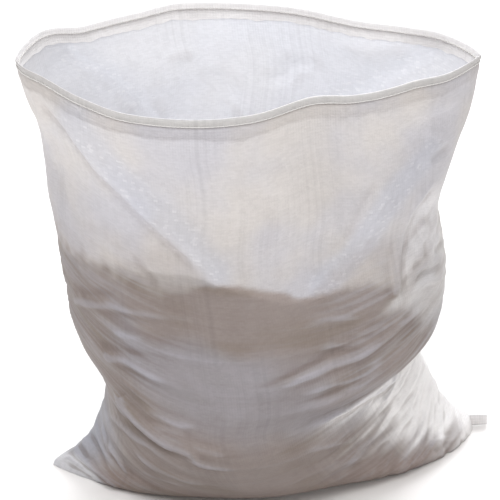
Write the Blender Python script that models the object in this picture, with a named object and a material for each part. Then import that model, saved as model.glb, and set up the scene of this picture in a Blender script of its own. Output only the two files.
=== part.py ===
"""Rubble sack: a woven sack with a hemmed open mouth, standing on its own fill of fine rubble.

Metres, +Z up. The origin is the middle of the resting base. +X runs along the mouth to the
right of someone who faces the sack's front, and the front looks along -Y.
"""

import math

import bmesh
import bpy
from mathutils import Vector

# The cloth tube, as stand-in walls that are thicker than the real 0.2 mm weave
CLOTH_WALL = 0.0020
FLOOR_WALL = 0.0046
HEM_WALL = 0.0034
HEM_DEPTH = 0.019
HEM_STEP = 0.0006
MOUTH_HEIGHT = 0.444
TOUCH_GAP = 0.0003

# Heights of the rim above or below MOUTH_HEIGHT at the middle of each side
FRONT_RIM_RISE = -0.014
BACK_RIM_RISE = 0.011
RIM_SWAY_START = 0.27
RIM_SWAY_REACH = 0.23

# How the rim rises and falls along x, on top of its sway: (x, height)
RIM_WAVE_START = 0.35
FRONT_RIM_WAVE = ((-0.235, 0.0), (-0.20, 0.008), (-0.165, 0.0035), (-0.12, -0.002), (-0.06, -0.001),
                  (0.0, 0.003), (0.055, 0.0095), (0.10, 0.0045), (0.155, 0.0045), (0.20, -0.002),
                  (0.231, 0.0))
BACK_RIM_WAVE = ((-0.235, 0.0), (-0.215, 0.0045), (-0.172, -0.0065), (-0.12, -0.0042),
                 (-0.075, 0.0012), (-0.02, -0.001), (0.05, -0.0045), (0.112, -0.0100),
                 (0.16, -0.006), (0.20, -0.0012), (0.231, 0.0))

# Profiles of the standing sack: (height, value) pairs, joined by smooth curves
LEFT_REACH = ((0.0, 0.2105), (0.006, 0.208), (0.0114, 0.199), (0.0205, 0.186), (0.031, 0.174),
              (0.0425, 0.166), (0.065, 0.158), (0.106, 0.1480), (0.135, 0.159), (0.162, 0.177),
              (0.197, 0.188), (0.28, 0.200), (0.328, 0.207), (0.358, 0.2095), (0.387, 0.217),
              (0.402, 0.225), (0.429, 0.232), (0.444, 0.2345))
RIGHT_REACH = ((0.0, 0.243), (0.0145, 0.240), (0.022, 0.231), (0.031, 0.219), (0.0485, 0.207),
               (0.085, 0.192), (0.120, 0.174), (0.147, 0.191), (0.178, 0.199), (0.225, 0.201),
               (0.256, 0.197), (0.30, 0.194), (0.331, 0.202), (0.357, 0.211), (0.38, 0.219),
               (0.404, 0.225), (0.444, 0.231))
LEFT_BACK_SHIFT = ((0.0, -0.034), (0.10, -0.020), (0.20, -0.004), (0.33, 0.016), (0.444, 0.031))
RIGHT_BACK_SHIFT = ((0.0, 0.040), (0.05, 0.032), (0.12, 0.020), (0.22, 0.009), (0.33, 0.016),
                    (0.444, 0.036))
FRONT_DEPTH = ((0.0, 0.098), (0.01, 0.115), (0.03, 0.137), (0.06, 0.156), (0.11, 0.173),
               (0.16, 0.170), (0.20, 0.162), (0.28, 0.154), (0.33, 0.147), (0.38, 0.137),
               (0.444, 0.125))
BACK_DEPTH = ((0.0, 0.098), (0.01, 0.114), (0.03, 0.135), (0.06, 0.153), (0.11, 0.170),
              (0.16, 0.168), (0.20, 0.160), (0.28, 0.152), (0.33, 0.145), (0.38, 0.134),
              (0.444, 0.120))

# How pointed the ends of each half are: 0.5 is round, and more runs to a sharper edge. Where the
# two ends of a half differ, it is deepest nearer the rounder one.
FRONT_LEFT_POINT = ((0.0, 0.88), (0.03, 0.75), (0.07, 0.56), (0.10, 0.50), (0.33, 0.50),
                    (0.444, 0.62))
FRONT_RIGHT_POINT = ((0.0, 0.62), (0.03, 0.72), (0.07, 0.80), (0.12, 0.68), (0.17, 0.52),
                     (0.33, 0.52), (0.40, 0.75), (0.444, 0.88))
BACK_LEFT_POINT = ((0.0, 0.88), (0.03, 0.75), (0.07, 0.56), (0.10, 0.50), (0.444, 0.50))
BACK_RIGHT_POINT = ((0.0, 0.90), (0.03, 0.85), (0.07, 0.66), (0.11, 0.52), (0.33, 0.50),
                    (0.444, 0.60))

# The end of the folded bottom hem, which stands out of the right ear as a small flat tab
TAB_LENGTH = 0.0165
TAB_ROOT = 0.0015
TAB_THICKNESS = 0.0036
TAB_LOW = 0.0022
TAB_HIGH = 0.0145

# The base seam runs from ear to ear and bows back a little; its fold leaves a shallow groove
SEAM_BOW = 0.022
GROOVE_HALF_WIDTH = 0.0032
GROOVE_HEIGHT = 0.0026
GROOVE_FADE = 6.0

# The foot lies a little forward on the left and back on the right: (x, y)
BASE_SWAY = ((-0.215, 0.0), (-0.12, -0.010), (-0.05, -0.003), (0.02, 0.001), (0.10, 0.008),
             (0.18, 0.001), (0.243, 0.0))
BASE_SWAY_TOP = 0.08

# The wave in the front of the rim, where the cloth is pushed back into the mouth
WAVE_X = 0.070
WAVE_WIDTH = 0.040
WAVE_DEPTH = 0.014
WAVE_START = 0.335

# The main folds of each face: a line through (x, z) points, how far the cloth stands out along it
# (below 0 it lies back), and the width over which that fades to each side
FRONT_FOLDS = (
    (((-0.172, 0.418), (-0.135, 0.379), (-0.096, 0.347), (-0.057, 0.318), (-0.033, 0.294)),
     0.0055, 0.018),
    (((-0.165, 0.345), (-0.130, 0.305)), -0.0040, 0.026),
    (((0.071, 0.276), (0.108, 0.307), (0.139, 0.348), (0.176, 0.372)), 0.0075, 0.015),
    (((0.083, 0.318), (0.110, 0.358)), -0.0035, 0.014),
    (((0.163, 0.285), (0.170, 0.312)), -0.0050, 0.013),
    (((0.008, 0.176), (0.067, 0.186), (0.136, 0.197)), 0.0030, 0.010),
    (((-0.148, 0.176), (-0.110, 0.181), (-0.060, 0.171)), 0.0030, 0.010),
    (((-0.139, 0.145), (-0.126, 0.126), (-0.107, 0.113), (-0.076, 0.107), (-0.038, 0.102)),
     0.0040, 0.010),
    (((0.072, 0.147), (0.115, 0.153), (0.145, 0.166), (0.157, 0.176)), 0.0040, 0.010),
    (((0.061, 0.127), (0.107, 0.124), (0.149, 0.110)), -0.0040, 0.010),
)
BACK_FOLDS = (
    (((-0.190, 0.415), (-0.135, 0.365), (-0.090, 0.310)), 0.0050, 0.018),
    (((0.190, 0.420), (0.130, 0.370), (0.060, 0.315)), 0.0060, 0.020),
    (((-0.020, 0.395), (0.010, 0.340)), -0.0045, 0.030),
    (((-0.150, 0.150), (-0.060, 0.118), (0.040, 0.112), (0.150, 0.152)), 0.0035, 0.011),
    (((-0.130, 0.190), (-0.030, 0.178), (0.090, 0.185)), 0.0028, 0.012),
)

# The fill: its top line against the cloth, its heap, and the empty cloth it leaves in the ears
FILL_EDGE_LOW = 0.25
FILL_EDGE_HIGH = 0.29
FILL_EDGE_GAP = 0.0022
FILL_HEAP = 0.030
FILL_TOP_STEPS = 16
FILL_FRONT_EDGE = ((-0.20, 0.252), (-0.16, 0.273), (-0.10, 0.284), (-0.045, 0.289), (0.0, 0.276),
                   (0.06, 0.262), (0.11, 0.269), (0.14, 0.263), (0.20, 0.253))
FILL_BACK_EDGE = ((-0.20, 0.252), (-0.08, 0.270), (0.05, 0.262), (0.20, 0.253))
LEFT_EAR_EMPTY = ((0.0, 0.030), (0.05, 0.014), (0.10, 0.0), (0.44, 0.0))
RIGHT_EAR_EMPTY = ((0.0, 0.040), (0.05, 0.018), (0.10, 0.0), (0.44, 0.0))
EAR_SPAN = 0.09

# The largest stones on the heap, (x, y, radius), and the share of each that stands above it
STONES = ((-0.150, 0.020, 0.014), (-0.112, -0.045, 0.016), (-0.105, 0.062, 0.015),
          (-0.070, 0.008, 0.019), (-0.058, -0.084, 0.014), (-0.050, 0.100, 0.017),
          (-0.020, -0.042, 0.016), (-0.012, 0.055, 0.018), (0.010, -0.098, 0.015),
          (0.026, 0.108, 0.014), (0.032, 0.004, 0.020), (0.062, -0.060, 0.017),
          (0.070, 0.060, 0.016), (0.098, 0.008, 0.015), (0.114, -0.050, 0.013),
          (0.112, 0.070, 0.013), (0.142, 0.028, 0.016))
STONE_RISE = 0.85

# Sewing thread
THREAD_RADIUS = 0.0006
THREAD_SIDES = 6
HEM_STITCH_DROP = 0.0076
THREAD_CLEARANCE = 0.0004

# Mesh density
COLUMNS = 28
CURVE_SAMPLES = 160
SHARPEST_MITER = 0.4
BODY_LEVELS = (0.0, 0.003, 0.0085, 0.0145, 0.0175, 0.024, 0.034, 0.047, 0.062, 0.08, 0.098, 0.115,
               0.135, 0.158, 0.185, 0.216, FILL_EDGE_LOW, FILL_EDGE_HIGH, 0.32, 0.345, 0.365, 0.384, 0.40)


def profile(points, height):
    """Value of a profile at some height or x, on a smooth curve that never overshoots."""
    count = len(points)
    if height <= points[0][0]:
        return points[0][1]
    if height >= points[-1][0]:
        return points[-1][1]
    slopes = [(points[i + 1][1] - points[i][1]) / (points[i + 1][0] - points[i][0])
              for i in range(count - 1)]

    def tangent(index):
        if index == 0 or index == count - 1:
            return slopes[0] if index == 0 else slopes[-1]
        before, after = slopes[index - 1], slopes[index]
        if before * after <= 0.0:
            return 0.0
        return 2.0 * before * after / (before + after)

    start = max(i for i in range(count - 1) if points[i][0] <= height)
    span = points[start + 1][0] - points[start][0]
    u = (height - points[start][0]) / span
    low, high = points[start][1], points[start + 1][1]
    return (low * (1 + 2 * u) * (1 - u) ** 2 + high * u * u * (3 - 2 * u)
            + span * (tangent(start) * u * (1 - u) ** 2 - tangent(start + 1) * u * u * (1 - u)))


def ease(low, high, value):
    """Smooth step from 0 at low to 1 at high."""
    u = min(1.0, max(0.0, (value - low) / (high - low)))
    return u * u * (3.0 - 2.0 * u)


def section_curve(height, side):
    """One half of a level section of the outside, left end to right end, as a dense curve.

    side is -1 for the front and 1 for the back.
    """
    left = Vector((-profile(LEFT_REACH, height), profile(LEFT_BACK_SHIFT, height), height))
    right = Vector((profile(RIGHT_REACH, height), profile(RIGHT_BACK_SHIFT, height), height))
    depth = profile(FRONT_DEPTH if side < 0 else BACK_DEPTH, height)
    left_point = profile(FRONT_LEFT_POINT if side < 0 else BACK_LEFT_POINT, height)
    right_point = profile(FRONT_RIGHT_POINT if side < 0 else BACK_RIGHT_POINT, height)

    def bulge(across):
        return max(0.0, 1.0 + across) ** left_point * max(0.0, 1.0 - across) ** right_point

    deepest = (left_point - right_point) / (left_point + right_point)
    scale = side * depth / bulge(deepest)
    curve = []
    for i in range(CURVE_SAMPLES + 1):
        across = -math.cos(math.pi * i / CURVE_SAMPLES)
        curve.append(left.lerp(right, 0.5 * (across + 1.0)) + Vector((0.0, scale * bulge(across), 0.0)))
    curve[0], curve[-1] = left, right
    return curve


def inset_curve(curve, side, inset):
    """The curve moved inward by inset, and cut off where it meets its section's middle line."""
    left, right = curve[0], curve[-1]
    slope = (right.y - left.y) / (right.x - left.x)
    inward = (right - left).normalized() * inset
    moved = [left + inward]
    for before, here, after in zip(curve, curve[1:], curve[2:]):
        along = (after - before).normalized()
        moved.append(here + Vector((along.y, -along.x, 0.0)) * (side * inset))
    moved.append(right - inward)
    clear = [side * (p.y - left.y - slope * (p.x - left.x)) for p in moved]
    clear[0] = clear[-1] = 0.0
    first = next(i for i, value in enumerate(clear) if value > 0.0)
    last = max(i for i, value in enumerate(clear) if value > 0.0)
    kept = moved[first:last + 1]
    ends = []
    for inner, outer in ((first, first - 1), (last, last + 1)):
        share = clear[inner] / (clear[inner] - clear[outer])
        ends.append(moved[inner].lerp(moved[outer], share))
    return [ends[0]] + kept + [ends[1]]


def even_points(curve):
    """COLUMNS + 1 points spaced evenly along a curve."""
    lengths = [0.0]
    for before, after in zip(curve, curve[1:]):
        lengths.append(lengths[-1] + (after - before).length)
    points = [curve[0]]
    index = 0
    for column in range(1, COLUMNS):
        target = lengths[-1] * column / COLUMNS
        while lengths[index + 1] < target:
            index += 1
        share = (target - lengths[index]) / (lengths[index + 1] - lengths[index])
        points.append(curve[index].lerp(curve[index + 1], share))
    points.append(curve[-1])
    return points


def fold_height(x, z, folds):
    """How far a face stands out at (x, z) because of its folds."""
    total = 0.0
    here = Vector((x, z))
    for line, height, width in folds:
        nearest = math.inf
        for start, end in zip(line, line[1:]):
            start, way = Vector(start), Vector(end) - Vector(start)
            share = min(1.0, max(0.0, (here - start).dot(way) / way.length_squared))
            nearest = min(nearest, (here - start - way * share).length)
        total += height * math.exp(-(nearest / width) ** 2)
    return total


def shift(x, height, side):
    """How far back a face lies because of its foot's sway, its main folds and its rim's wave."""
    back = profile(BASE_SWAY, x) * (1.0 - ease(0.0, BASE_SWAY_TOP, height))
    back += side * fold_height(x, height, FRONT_FOLDS if side < 0 else BACK_FOLDS)
    if side < 0:
        across = math.exp(-((x - WAVE_X) / WAVE_WIDTH) ** 2)
        back += WAVE_DEPTH * across * ease(WAVE_START, MOUTH_HEIGHT, height)
    return back


def sway(point, side):
    """The point moved by the sack's broad unevenness: its shift, and the rise of its rim."""
    x, y, height = point
    y += shift(x, height, side)
    middle = max(0.0, 1.0 - (x / RIM_SWAY_REACH) ** 2)
    rise = (FRONT_RIM_RISE if side < 0 else BACK_RIM_RISE) * middle
    wave = profile(FRONT_RIM_WAVE if side < 0 else BACK_RIM_WAVE, x)
    z = height + rise * ease(RIM_SWAY_START, MOUTH_HEIGHT, height)
    z += wave * ease(RIM_WAVE_START, MOUTH_HEIGHT, height)
    return Vector((x, y, z))


def ring(height, inset=0.0):
    """A closed level ring: front half from left to right, then the back half from right to left."""
    halves = []
    for side in (-1, 1):
        curve = section_curve(height, side)
        if inset:
            curve = inset_curve(curve, side, inset)
        halves.append([sway(p, side) for p in even_points(curve)])
    front, back = halves
    return front + back[-2:0:-1]


def moved_ring(points, distance):
    """A closed ring moved level and outward by distance, each side staying parallel to itself."""
    moved = []
    for i, here in enumerate(points):
        into = (here - points[i - 1]).normalized()
        out = (points[(i + 1) % len(points)] - here).normalized()
        normal_in = Vector((into.y, -into.x, 0.0)).normalized()
        normal_out = Vector((out.y, -out.x, 0.0)).normalized()
        miter = (normal_in + normal_out).normalized()
        moved.append(here + miter * (distance / max(SHARPEST_MITER, miter.dot(normal_in))))
    return moved


def base_rows(outline, lift):
    """Rows that close a sack bottom: front groove edge, groove top and back groove edge.

    Each row runs from the left end to the right end, without the two ends themselves.
    """
    left, right = outline[0], outline[COLUMNS]
    edge_front, top, edge_back = [], [], []
    for column in range(1, COLUMNS):
        share = column / COLUMNS
        bow = 4.0 * share * (1.0 - share)
        middle = left.lerp(right, share) + Vector((0.0, SEAM_BOW * bow, 0.0))
        fade = min(1.0, GROOVE_FADE * bow)
        half = GROOVE_HALF_WIDTH * fade
        edge_front.append(Vector((middle.x, middle.y - half, outline[0].z)))
        edge_back.append(Vector((middle.x, middle.y + half, outline[0].z)))
        top.append(Vector((middle.x, middle.y, outline[0].z + lift * fade)))
    return edge_front, top, edge_back


class Shell:
    """Collects vertices and faces of one closed solid."""

    def __init__(self):
        self.points = []
        self.faces = []

    def add(self, points):
        start = len(self.points)
        self.points.extend(points)
        return list(range(start, start + len(points)))

    def bridge(self, lower, upper, outward=True):
        """Quads between two closed rings of the same count."""
        count = len(lower)
        for i in range(count):
            j = (i + 1) % count
            if outward:
                self.faces.append((lower[i], lower[j], upper[j], upper[i]))
            else:
                self.faces.append((upper[j], lower[j], lower[i], upper[i]))

    def close_base(self, outline, lift, outward=True):
        """Closes the ring's underside with strips that meet in the seam's groove."""
        places = [self.points[i] for i in outline]
        rows = [self.add(row) for row in base_rows(places, lift)]
        left, right = outline[0], outline[COLUMNS]
        front = outline[1:COLUMNS]
        back = outline[:COLUMNS:-1]
        strips = [front] + rows + [back]
        for near, far in zip(strips, strips[1:]):
            faces = [(left, far[0], near[0]), (near[-1], far[-1], right)]
            for i in range(len(near) - 1):
                faces.append((near[i], far[i], far[i + 1], near[i + 1]))
            self.faces.extend(face if outward else face[::-1] for face in faces)

    def build(self, name, material):
        mesh = bpy.data.meshes.new(name)
        mesh.from_pydata([tuple(p) for p in self.points], [], self.faces)
        mesh.validate()
        mesh.materials.append(material)
        mesh.shade_smooth()
        mesh.set_sharp_from_angle(angle=math.radians(40))
        thing = bpy.data.objects.new(name, mesh)
        bpy.context.scene.collection.objects.link(thing)
        return thing


def make_material(name, colour, roughness):
    material = bpy.data.materials.new(name)
    material.use_nodes = True
    shader = material.node_tree.nodes["Principled BSDF"]
    shader.inputs["Base Color"].default_value = (*colour, 1.0)
    shader.inputs["Roughness"].default_value = roughness
    shader.inputs["Metallic"].default_value = 0.0
    return material


def make_tab(left_tip, right_tip):
    """The guide solid for the hem's end: a small slab that carries on the line of the seam."""
    along = (right_tip - left_tip).normalized()
    start = right_tip - along * TAB_ROOT
    bm = bmesh.new()
    bmesh.ops.create_cube(bm, size=1.0)
    for vert in bm.verts:
        reach = (vert.co.x + 0.5) * (TAB_ROOT + TAB_LENGTH)
        side = Vector((-along.y, along.x, 0.0)) * (vert.co.y * TAB_THICKNESS)
        height = TAB_HIGH if vert.co.z > 0.0 else TAB_LOW
        vert.co = Vector((start.x, start.y, height)) + along * reach + side
    mesh = bpy.data.meshes.new("hem_tab")
    bm.to_mesh(mesh)
    bm.free()
    tab = bpy.data.objects.new("hem_tab", mesh)
    tab.hide_render = True
    tab.display_type = "WIRE"
    bpy.context.scene.collection.objects.link(tab)
    return tab


def make_sack(material):
    """The cloth: outside from base to rim, over the rim, and down the inside to the floor."""
    hem_low = MOUTH_HEIGHT - HEM_DEPTH
    stitch = MOUTH_HEIGHT - HEM_STITCH_DROP
    levels = BODY_LEVELS + (hem_low, stitch, MOUTH_HEIGHT)
    shell = Shell()
    outside = [shell.add(ring(z)) for z in levels]
    shell.close_base(outside[0], GROOVE_HEIGHT)
    for lower, upper in zip(outside, outside[1:]):
        shell.bridge(lower, upper)

    walls = [(z, CLOTH_WALL) for z in levels if FLOOR_WALL < z < hem_low]
    walls = [(FLOOR_WALL, CLOTH_WALL)] + walls + [(hem_low - HEM_STEP, CLOTH_WALL)]
    walls += [(hem_low, HEM_WALL), (stitch, HEM_WALL), (MOUTH_HEIGHT, HEM_WALL)]
    inside = [shell.add(ring(z, wall)) for z, wall in walls]
    shell.close_base(inside[0], 0.0, outward=False)
    for lower, upper in zip(inside, inside[1:]):
        shell.bridge(lower, upper, outward=False)
    shell.bridge(outside[-1], inside[-1])
    sack = shell.build("sack", material)
    join = sack.modifiers.new("hem_tab", "BOOLEAN")
    join.operation = "UNION"
    join.object = make_tab(shell.points[outside[0][0]], shell.points[outside[0][COLUMNS]])
    return sack


def fill_ring(height, gap):
    """A ring of the fill: just inside the cloth, and squeezed back from the empty ears."""
    cloth = moved_ring(ring(height, CLOTH_WALL), -gap)
    squeezed = []
    for column, point in enumerate(cloth):
        if point.x < 0.0:
            tip, empty = cloth[0].x, profile(LEFT_EAR_EMPTY, height)
        else:
            tip, empty = cloth[COLUMNS].x, profile(RIGHT_EAR_EMPTY, height)
        past = max(0.0, 1.0 - abs(tip - point.x) / EAR_SPAN)
        x = point.x - math.copysign(empty * past, tip)
        side = -1 if column <= COLUMNS else 1
        y = point.y + shift(x, height, side) - shift(point.x, height, side)
        squeezed.append(Vector((x, y, point.z)))
    return squeezed


def fill_edge():
    """The line where the fill's top meets the cloth."""
    low = fill_ring(FILL_EDGE_LOW, FILL_EDGE_GAP)
    high = fill_ring(FILL_EDGE_HIGH, FILL_EDGE_GAP)
    edge = []
    for i, (below, above) in enumerate(zip(low, high)):
        height = profile(FILL_FRONT_EDGE if i <= COLUMNS else FILL_BACK_EDGE, below.x)
        edge.append(below.lerp(above, (height - FILL_EDGE_LOW) / (FILL_EDGE_HIGH - FILL_EDGE_LOW)))
    return edge


def heap_point(edge, middle, share):
    """A point of the heap's top, some share of the way from its edge to its middle."""
    point = edge.lerp(middle, share)
    point.z += FILL_HEAP * math.sin(0.5 * math.pi * share)
    stone_top = 0.0
    for x, y, radius in STONES:
        off = math.hypot(point.x - x, point.y - y) / radius
        stone_top = max(stone_top, STONE_RISE * radius * math.sqrt(max(0.0, 1.0 - off * off)))
    point.z += stone_top
    return point


def make_fill(material):
    """The rubble: it fills the lower sack and heaps up in the middle, with its largest stones."""
    shell = Shell()
    floor = [Vector((p.x, p.y, FLOOR_WALL + TOUCH_GAP))
             for p in fill_ring(FLOOR_WALL, 2 * TOUCH_GAP)]
    levels = [z for z in BODY_LEVELS if FLOOR_WALL < z <= FILL_EDGE_LOW]
    rings = [shell.add(floor)] + [shell.add(fill_ring(z, TOUCH_GAP)) for z in levels]
    edge = fill_edge()
    rings.append(shell.add(edge))
    shell.close_base(rings[0], 0.0)
    middle = sum(edge, Vector()) / len(edge)
    for step in range(1, FILL_TOP_STEPS):
        rings.append(shell.add([heap_point(p, middle, step / FILL_TOP_STEPS) for p in edge]))
    for lower, upper in zip(rings, rings[1:]):
        shell.bridge(lower, upper)
    peak = shell.add([heap_point(middle, middle, 1.0)])[0]
    last = rings[-1]
    for i, point in enumerate(last):
        shell.faces.append((point, last[(i + 1) % len(last)], peak))
    return shell.build("rubble_fill", material)


def tube_rings(shell, path, closed):
    """Rings of a thread around a path, in the planes that halve its bends."""
    count = len(path)
    rings = []
    for i, here in enumerate(path):
        before = path[i - 1] if closed or i > 0 else here
        after = path[(i + 1) % count] if closed or i < count - 1 else here
        along = (after - before).normalized()
        side = along.cross(Vector((0.0, 0.0, 1.0))).normalized()
        up = along.cross(side)
        turns = [2.0 * math.pi * k / THREAD_SIDES for k in range(THREAD_SIDES)]
        rings.append(shell.add([here + THREAD_RADIUS * (side * math.cos(a) + up * math.sin(a))
                                for a in turns]))
    return rings


def make_hem_thread(material):
    """The hem's stitching: a ring of thread on the outside, a little below the rim."""
    path = moved_ring(ring(MOUTH_HEIGHT - HEM_STITCH_DROP), THREAD_RADIUS + THREAD_CLEARANCE)
    shell = Shell()
    rings = tube_rings(shell, path, closed=True)
    for i, here in enumerate(rings):
        shell.bridge(here, rings[(i + 1) % len(rings)])
    return shell.build("mouth_hem_thread", material)


def make_seam_thread(material):
    """The bottom seam's thread, lying in the groove that the folded seam leaves."""
    outline = ring(0.0)
    _, top, _ = base_rows(outline, GROOVE_HEIGHT)
    height = TOUCH_GAP + THREAD_RADIUS
    path = [Vector((p.x, p.y, height)) for p in top[1:-1]]
    shell = Shell()
    rings = tube_rings(shell, path, closed=False)
    for before, after in zip(rings, rings[1:]):
        shell.bridge(before, after)
    shell.faces.append(tuple(rings[0][::-1]))
    shell.faces.append(tuple(rings[-1]))
    return shell.build("base_seam_thread", material)


def main():
    for thing in list(bpy.data.objects):
        bpy.data.objects.remove(thing, do_unlink=True)
    cloth = make_material("woven_cloth", (0.62, 0.60, 0.59), 0.55)
    rubble = make_material("fine_rubble", (0.20, 0.16, 0.13), 0.95)
    thread = make_material("sewing_thread", (0.78, 0.78, 0.78), 0.60)
    make_sack(cloth)
    make_fill(rubble)
    make_hem_thread(thread)
    make_seam_thread(thread)


main()
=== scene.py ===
"""The looks of the rubble sack: woven cloth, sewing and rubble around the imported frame.

Metres, +Z up. The sack stands on its own fill, its front looks along -Y, and +X runs along the
mouth to the right of someone who faces the front.
"""

import math

import bmesh
import bpy
import numpy as np
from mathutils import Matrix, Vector


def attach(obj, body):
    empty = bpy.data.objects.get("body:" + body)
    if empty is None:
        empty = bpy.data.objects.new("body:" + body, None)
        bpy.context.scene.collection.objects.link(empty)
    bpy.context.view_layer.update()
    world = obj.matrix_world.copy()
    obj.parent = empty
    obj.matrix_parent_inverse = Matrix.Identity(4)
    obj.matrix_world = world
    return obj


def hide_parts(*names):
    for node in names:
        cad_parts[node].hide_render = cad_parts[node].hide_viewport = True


# Camera: the photograph's view of the front, from a little above
CAMERA_AIM = (0.0, 0.0, 0.241)
CAMERA_ELEVATION = math.radians(28.0)
CAMERA_DISTANCE = 2.2
CAMERA_LENS = 153.8
SENSOR = 36.0
PICTURE = 500

# The standing sack, with the same sizes as its solids
MOUTH_HEIGHT = 0.444
HEM_DEPTH = 0.019
HEM_STITCH_DROP = 0.0076
FRONT_RIM_RISE = -0.014
BACK_RIM_RISE = 0.011
RIM_SWAY_START = 0.27
RIM_SWAY_REACH = 0.23

LEFT_REACH = (
    (0, 0.2105), (0.006, 0.208), (0.0114, 0.199), (0.0205, 0.186), (0.031, 0.174), (0.0425, 0.166),
    (0.065, 0.158), (0.106, 0.148), (0.135, 0.159), (0.162, 0.177), (0.197, 0.188), (0.28, 0.2),
    (0.328, 0.207), (0.358, 0.2095), (0.387, 0.217), (0.402, 0.225), (0.429, 0.232),
    (0.444, 0.2345)
)
RIGHT_REACH = (
    (0, 0.243), (0.0145, 0.24), (0.022, 0.231), (0.031, 0.219), (0.0485, 0.207), (0.085, 0.192),
    (0.12, 0.174), (0.147, 0.191), (0.178, 0.199), (0.225, 0.201), (0.256, 0.197), (0.3, 0.194),
    (0.331, 0.202), (0.357, 0.211), (0.38, 0.219), (0.404, 0.225), (0.444, 0.231)
)
LEFT_BACK_SHIFT = ((0, -0.034), (0.1, -0.02), (0.2, -0.004), (0.33, 0.016), (0.444, 0.031))
RIGHT_BACK_SHIFT = (
    (0, 0.04), (0.05, 0.032), (0.12, 0.02), (0.22, 0.009), (0.33, 0.016), (0.444, 0.036)
)
FRONT_DEPTH = (
    (0, 0.098), (0.01, 0.115), (0.03, 0.137), (0.06, 0.156), (0.11, 0.173), (0.16, 0.17),
    (0.2, 0.162), (0.28, 0.154), (0.33, 0.147), (0.38, 0.137), (0.444, 0.125)
)
BACK_DEPTH = (
    (0, 0.098), (0.01, 0.114), (0.03, 0.135), (0.06, 0.153), (0.11, 0.17), (0.16, 0.168),
    (0.2, 0.16), (0.28, 0.152), (0.33, 0.145), (0.38, 0.134), (0.444, 0.12)
)
FRONT_LEFT_POINT = ((0, 0.88), (0.03, 0.75), (0.07, 0.56), (0.1, 0.5), (0.33, 0.5), (0.444, 0.62))
FRONT_RIGHT_POINT = (
    (0, 0.62), (0.03, 0.72), (0.07, 0.8), (0.12, 0.68), (0.17, 0.52), (0.33, 0.52), (0.4, 0.75),
    (0.444, 0.88)
)
BACK_LEFT_POINT = ((0, 0.88), (0.03, 0.75), (0.07, 0.56), (0.1, 0.5), (0.444, 0.5))
BACK_RIGHT_POINT = ((0, 0.9), (0.03, 0.85), (0.07, 0.66), (0.11, 0.52), (0.33, 0.5), (0.444, 0.6))
BASE_SWAY = (
    (-0.215, 0), (-0.12, -0.01), (-0.05, -0.003), (0.02, 0.001), (0.1, 0.008), (0.18, 0.001),
    (0.243, 0)
)
BASE_SWAY_TOP = 0.08
SEAM_BOW = 0.022
GROOVE_HALF_WIDTH = 0.0032
GROOVE_HEIGHT = 0.0026
GROOVE_FADE = 6.0
WAVE_X = 0.070
WAVE_WIDTH = 0.040
WAVE_DEPTH = 0.014
WAVE_START = 0.335

# The main folds of each face: a line through (x, z) points, how far the cloth stands out along it
# (below 0 it lies back), and the width over which that fades to each side
FRONT_FOLDS = (
    (((-0.172, 0.418), (-0.135, 0.379), (-0.096, 0.347), (-0.057, 0.318), (-0.033, 0.294)),
     0.0055, 0.018),
    (((-0.165, 0.345), (-0.130, 0.305)), -0.0040, 0.026),
    (((0.071, 0.276), (0.108, 0.307), (0.139, 0.348), (0.176, 0.372)), 0.0075, 0.015),
    (((0.083, 0.318), (0.110, 0.358)), -0.0035, 0.014),
    (((0.163, 0.285), (0.170, 0.312)), -0.0050, 0.013),
    (((0.008, 0.176), (0.067, 0.186), (0.136, 0.197)), 0.0030, 0.010),
    (((-0.148, 0.176), (-0.110, 0.181), (-0.060, 0.171)), 0.0030, 0.010),
    (((-0.139, 0.145), (-0.126, 0.126), (-0.107, 0.113), (-0.076, 0.107), (-0.038, 0.102)),
     0.0040, 0.010),
    (((0.072, 0.147), (0.115, 0.153), (0.145, 0.166), (0.157, 0.176)), 0.0040, 0.010),
    (((0.061, 0.127), (0.107, 0.124), (0.149, 0.110)), -0.0040, 0.010),
)
BACK_FOLDS = (
    (((-0.190, 0.415), (-0.135, 0.365), (-0.090, 0.310)), 0.0050, 0.018),
    (((0.190, 0.420), (0.130, 0.370), (0.060, 0.315)), 0.0060, 0.020),
    (((-0.020, 0.395), (0.010, 0.340)), -0.0045, 0.030),
    (((-0.150, 0.150), (-0.060, 0.118), (0.040, 0.112), (0.150, 0.152)), 0.0035, 0.011),
    (((-0.130, 0.190), (-0.030, 0.178), (0.090, 0.185)), 0.0028, 0.012),
)

TAB_LENGTH = 0.0165
TAB_THICKNESS = 0.0036
TAB_LOW = 0.0022
TAB_HIGH = 0.0145
FILL_HEAP = 0.030
FILL_BOTTOM = 0.0049
FILL_FRONT_EDGE = (
    (-0.2, 0.252), (-0.16, 0.273), (-0.1, 0.284), (-0.045, 0.289), (0, 0.276), (0.06, 0.262),
    (0.11, 0.269), (0.14, 0.263), (0.2, 0.253)
)
FILL_BACK_EDGE = ((-0.2, 0.252), (-0.08, 0.27), (0.05, 0.262), (0.2, 0.253))

# The largest stones on the heap: (x, y, radius)
STONES = (
    (-0.15, 0.02, 0.014), (-0.112, -0.045, 0.016), (-0.105, 0.062, 0.015), (-0.07, 0.008, 0.019),
    (-0.058, -0.084, 0.014), (-0.05, 0.1, 0.017), (-0.02, -0.042, 0.016), (-0.012, 0.055, 0.018),
    (0.01, -0.098, 0.015), (0.026, 0.108, 0.014), (0.032, 0.004, 0.02), (0.062, -0.06, 0.017),
    (0.07, 0.06, 0.016), (0.098, 0.008, 0.015), (0.114, -0.05, 0.013), (0.112, 0.07, 0.013),
    (0.142, 0.028, 0.016)
)

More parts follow.
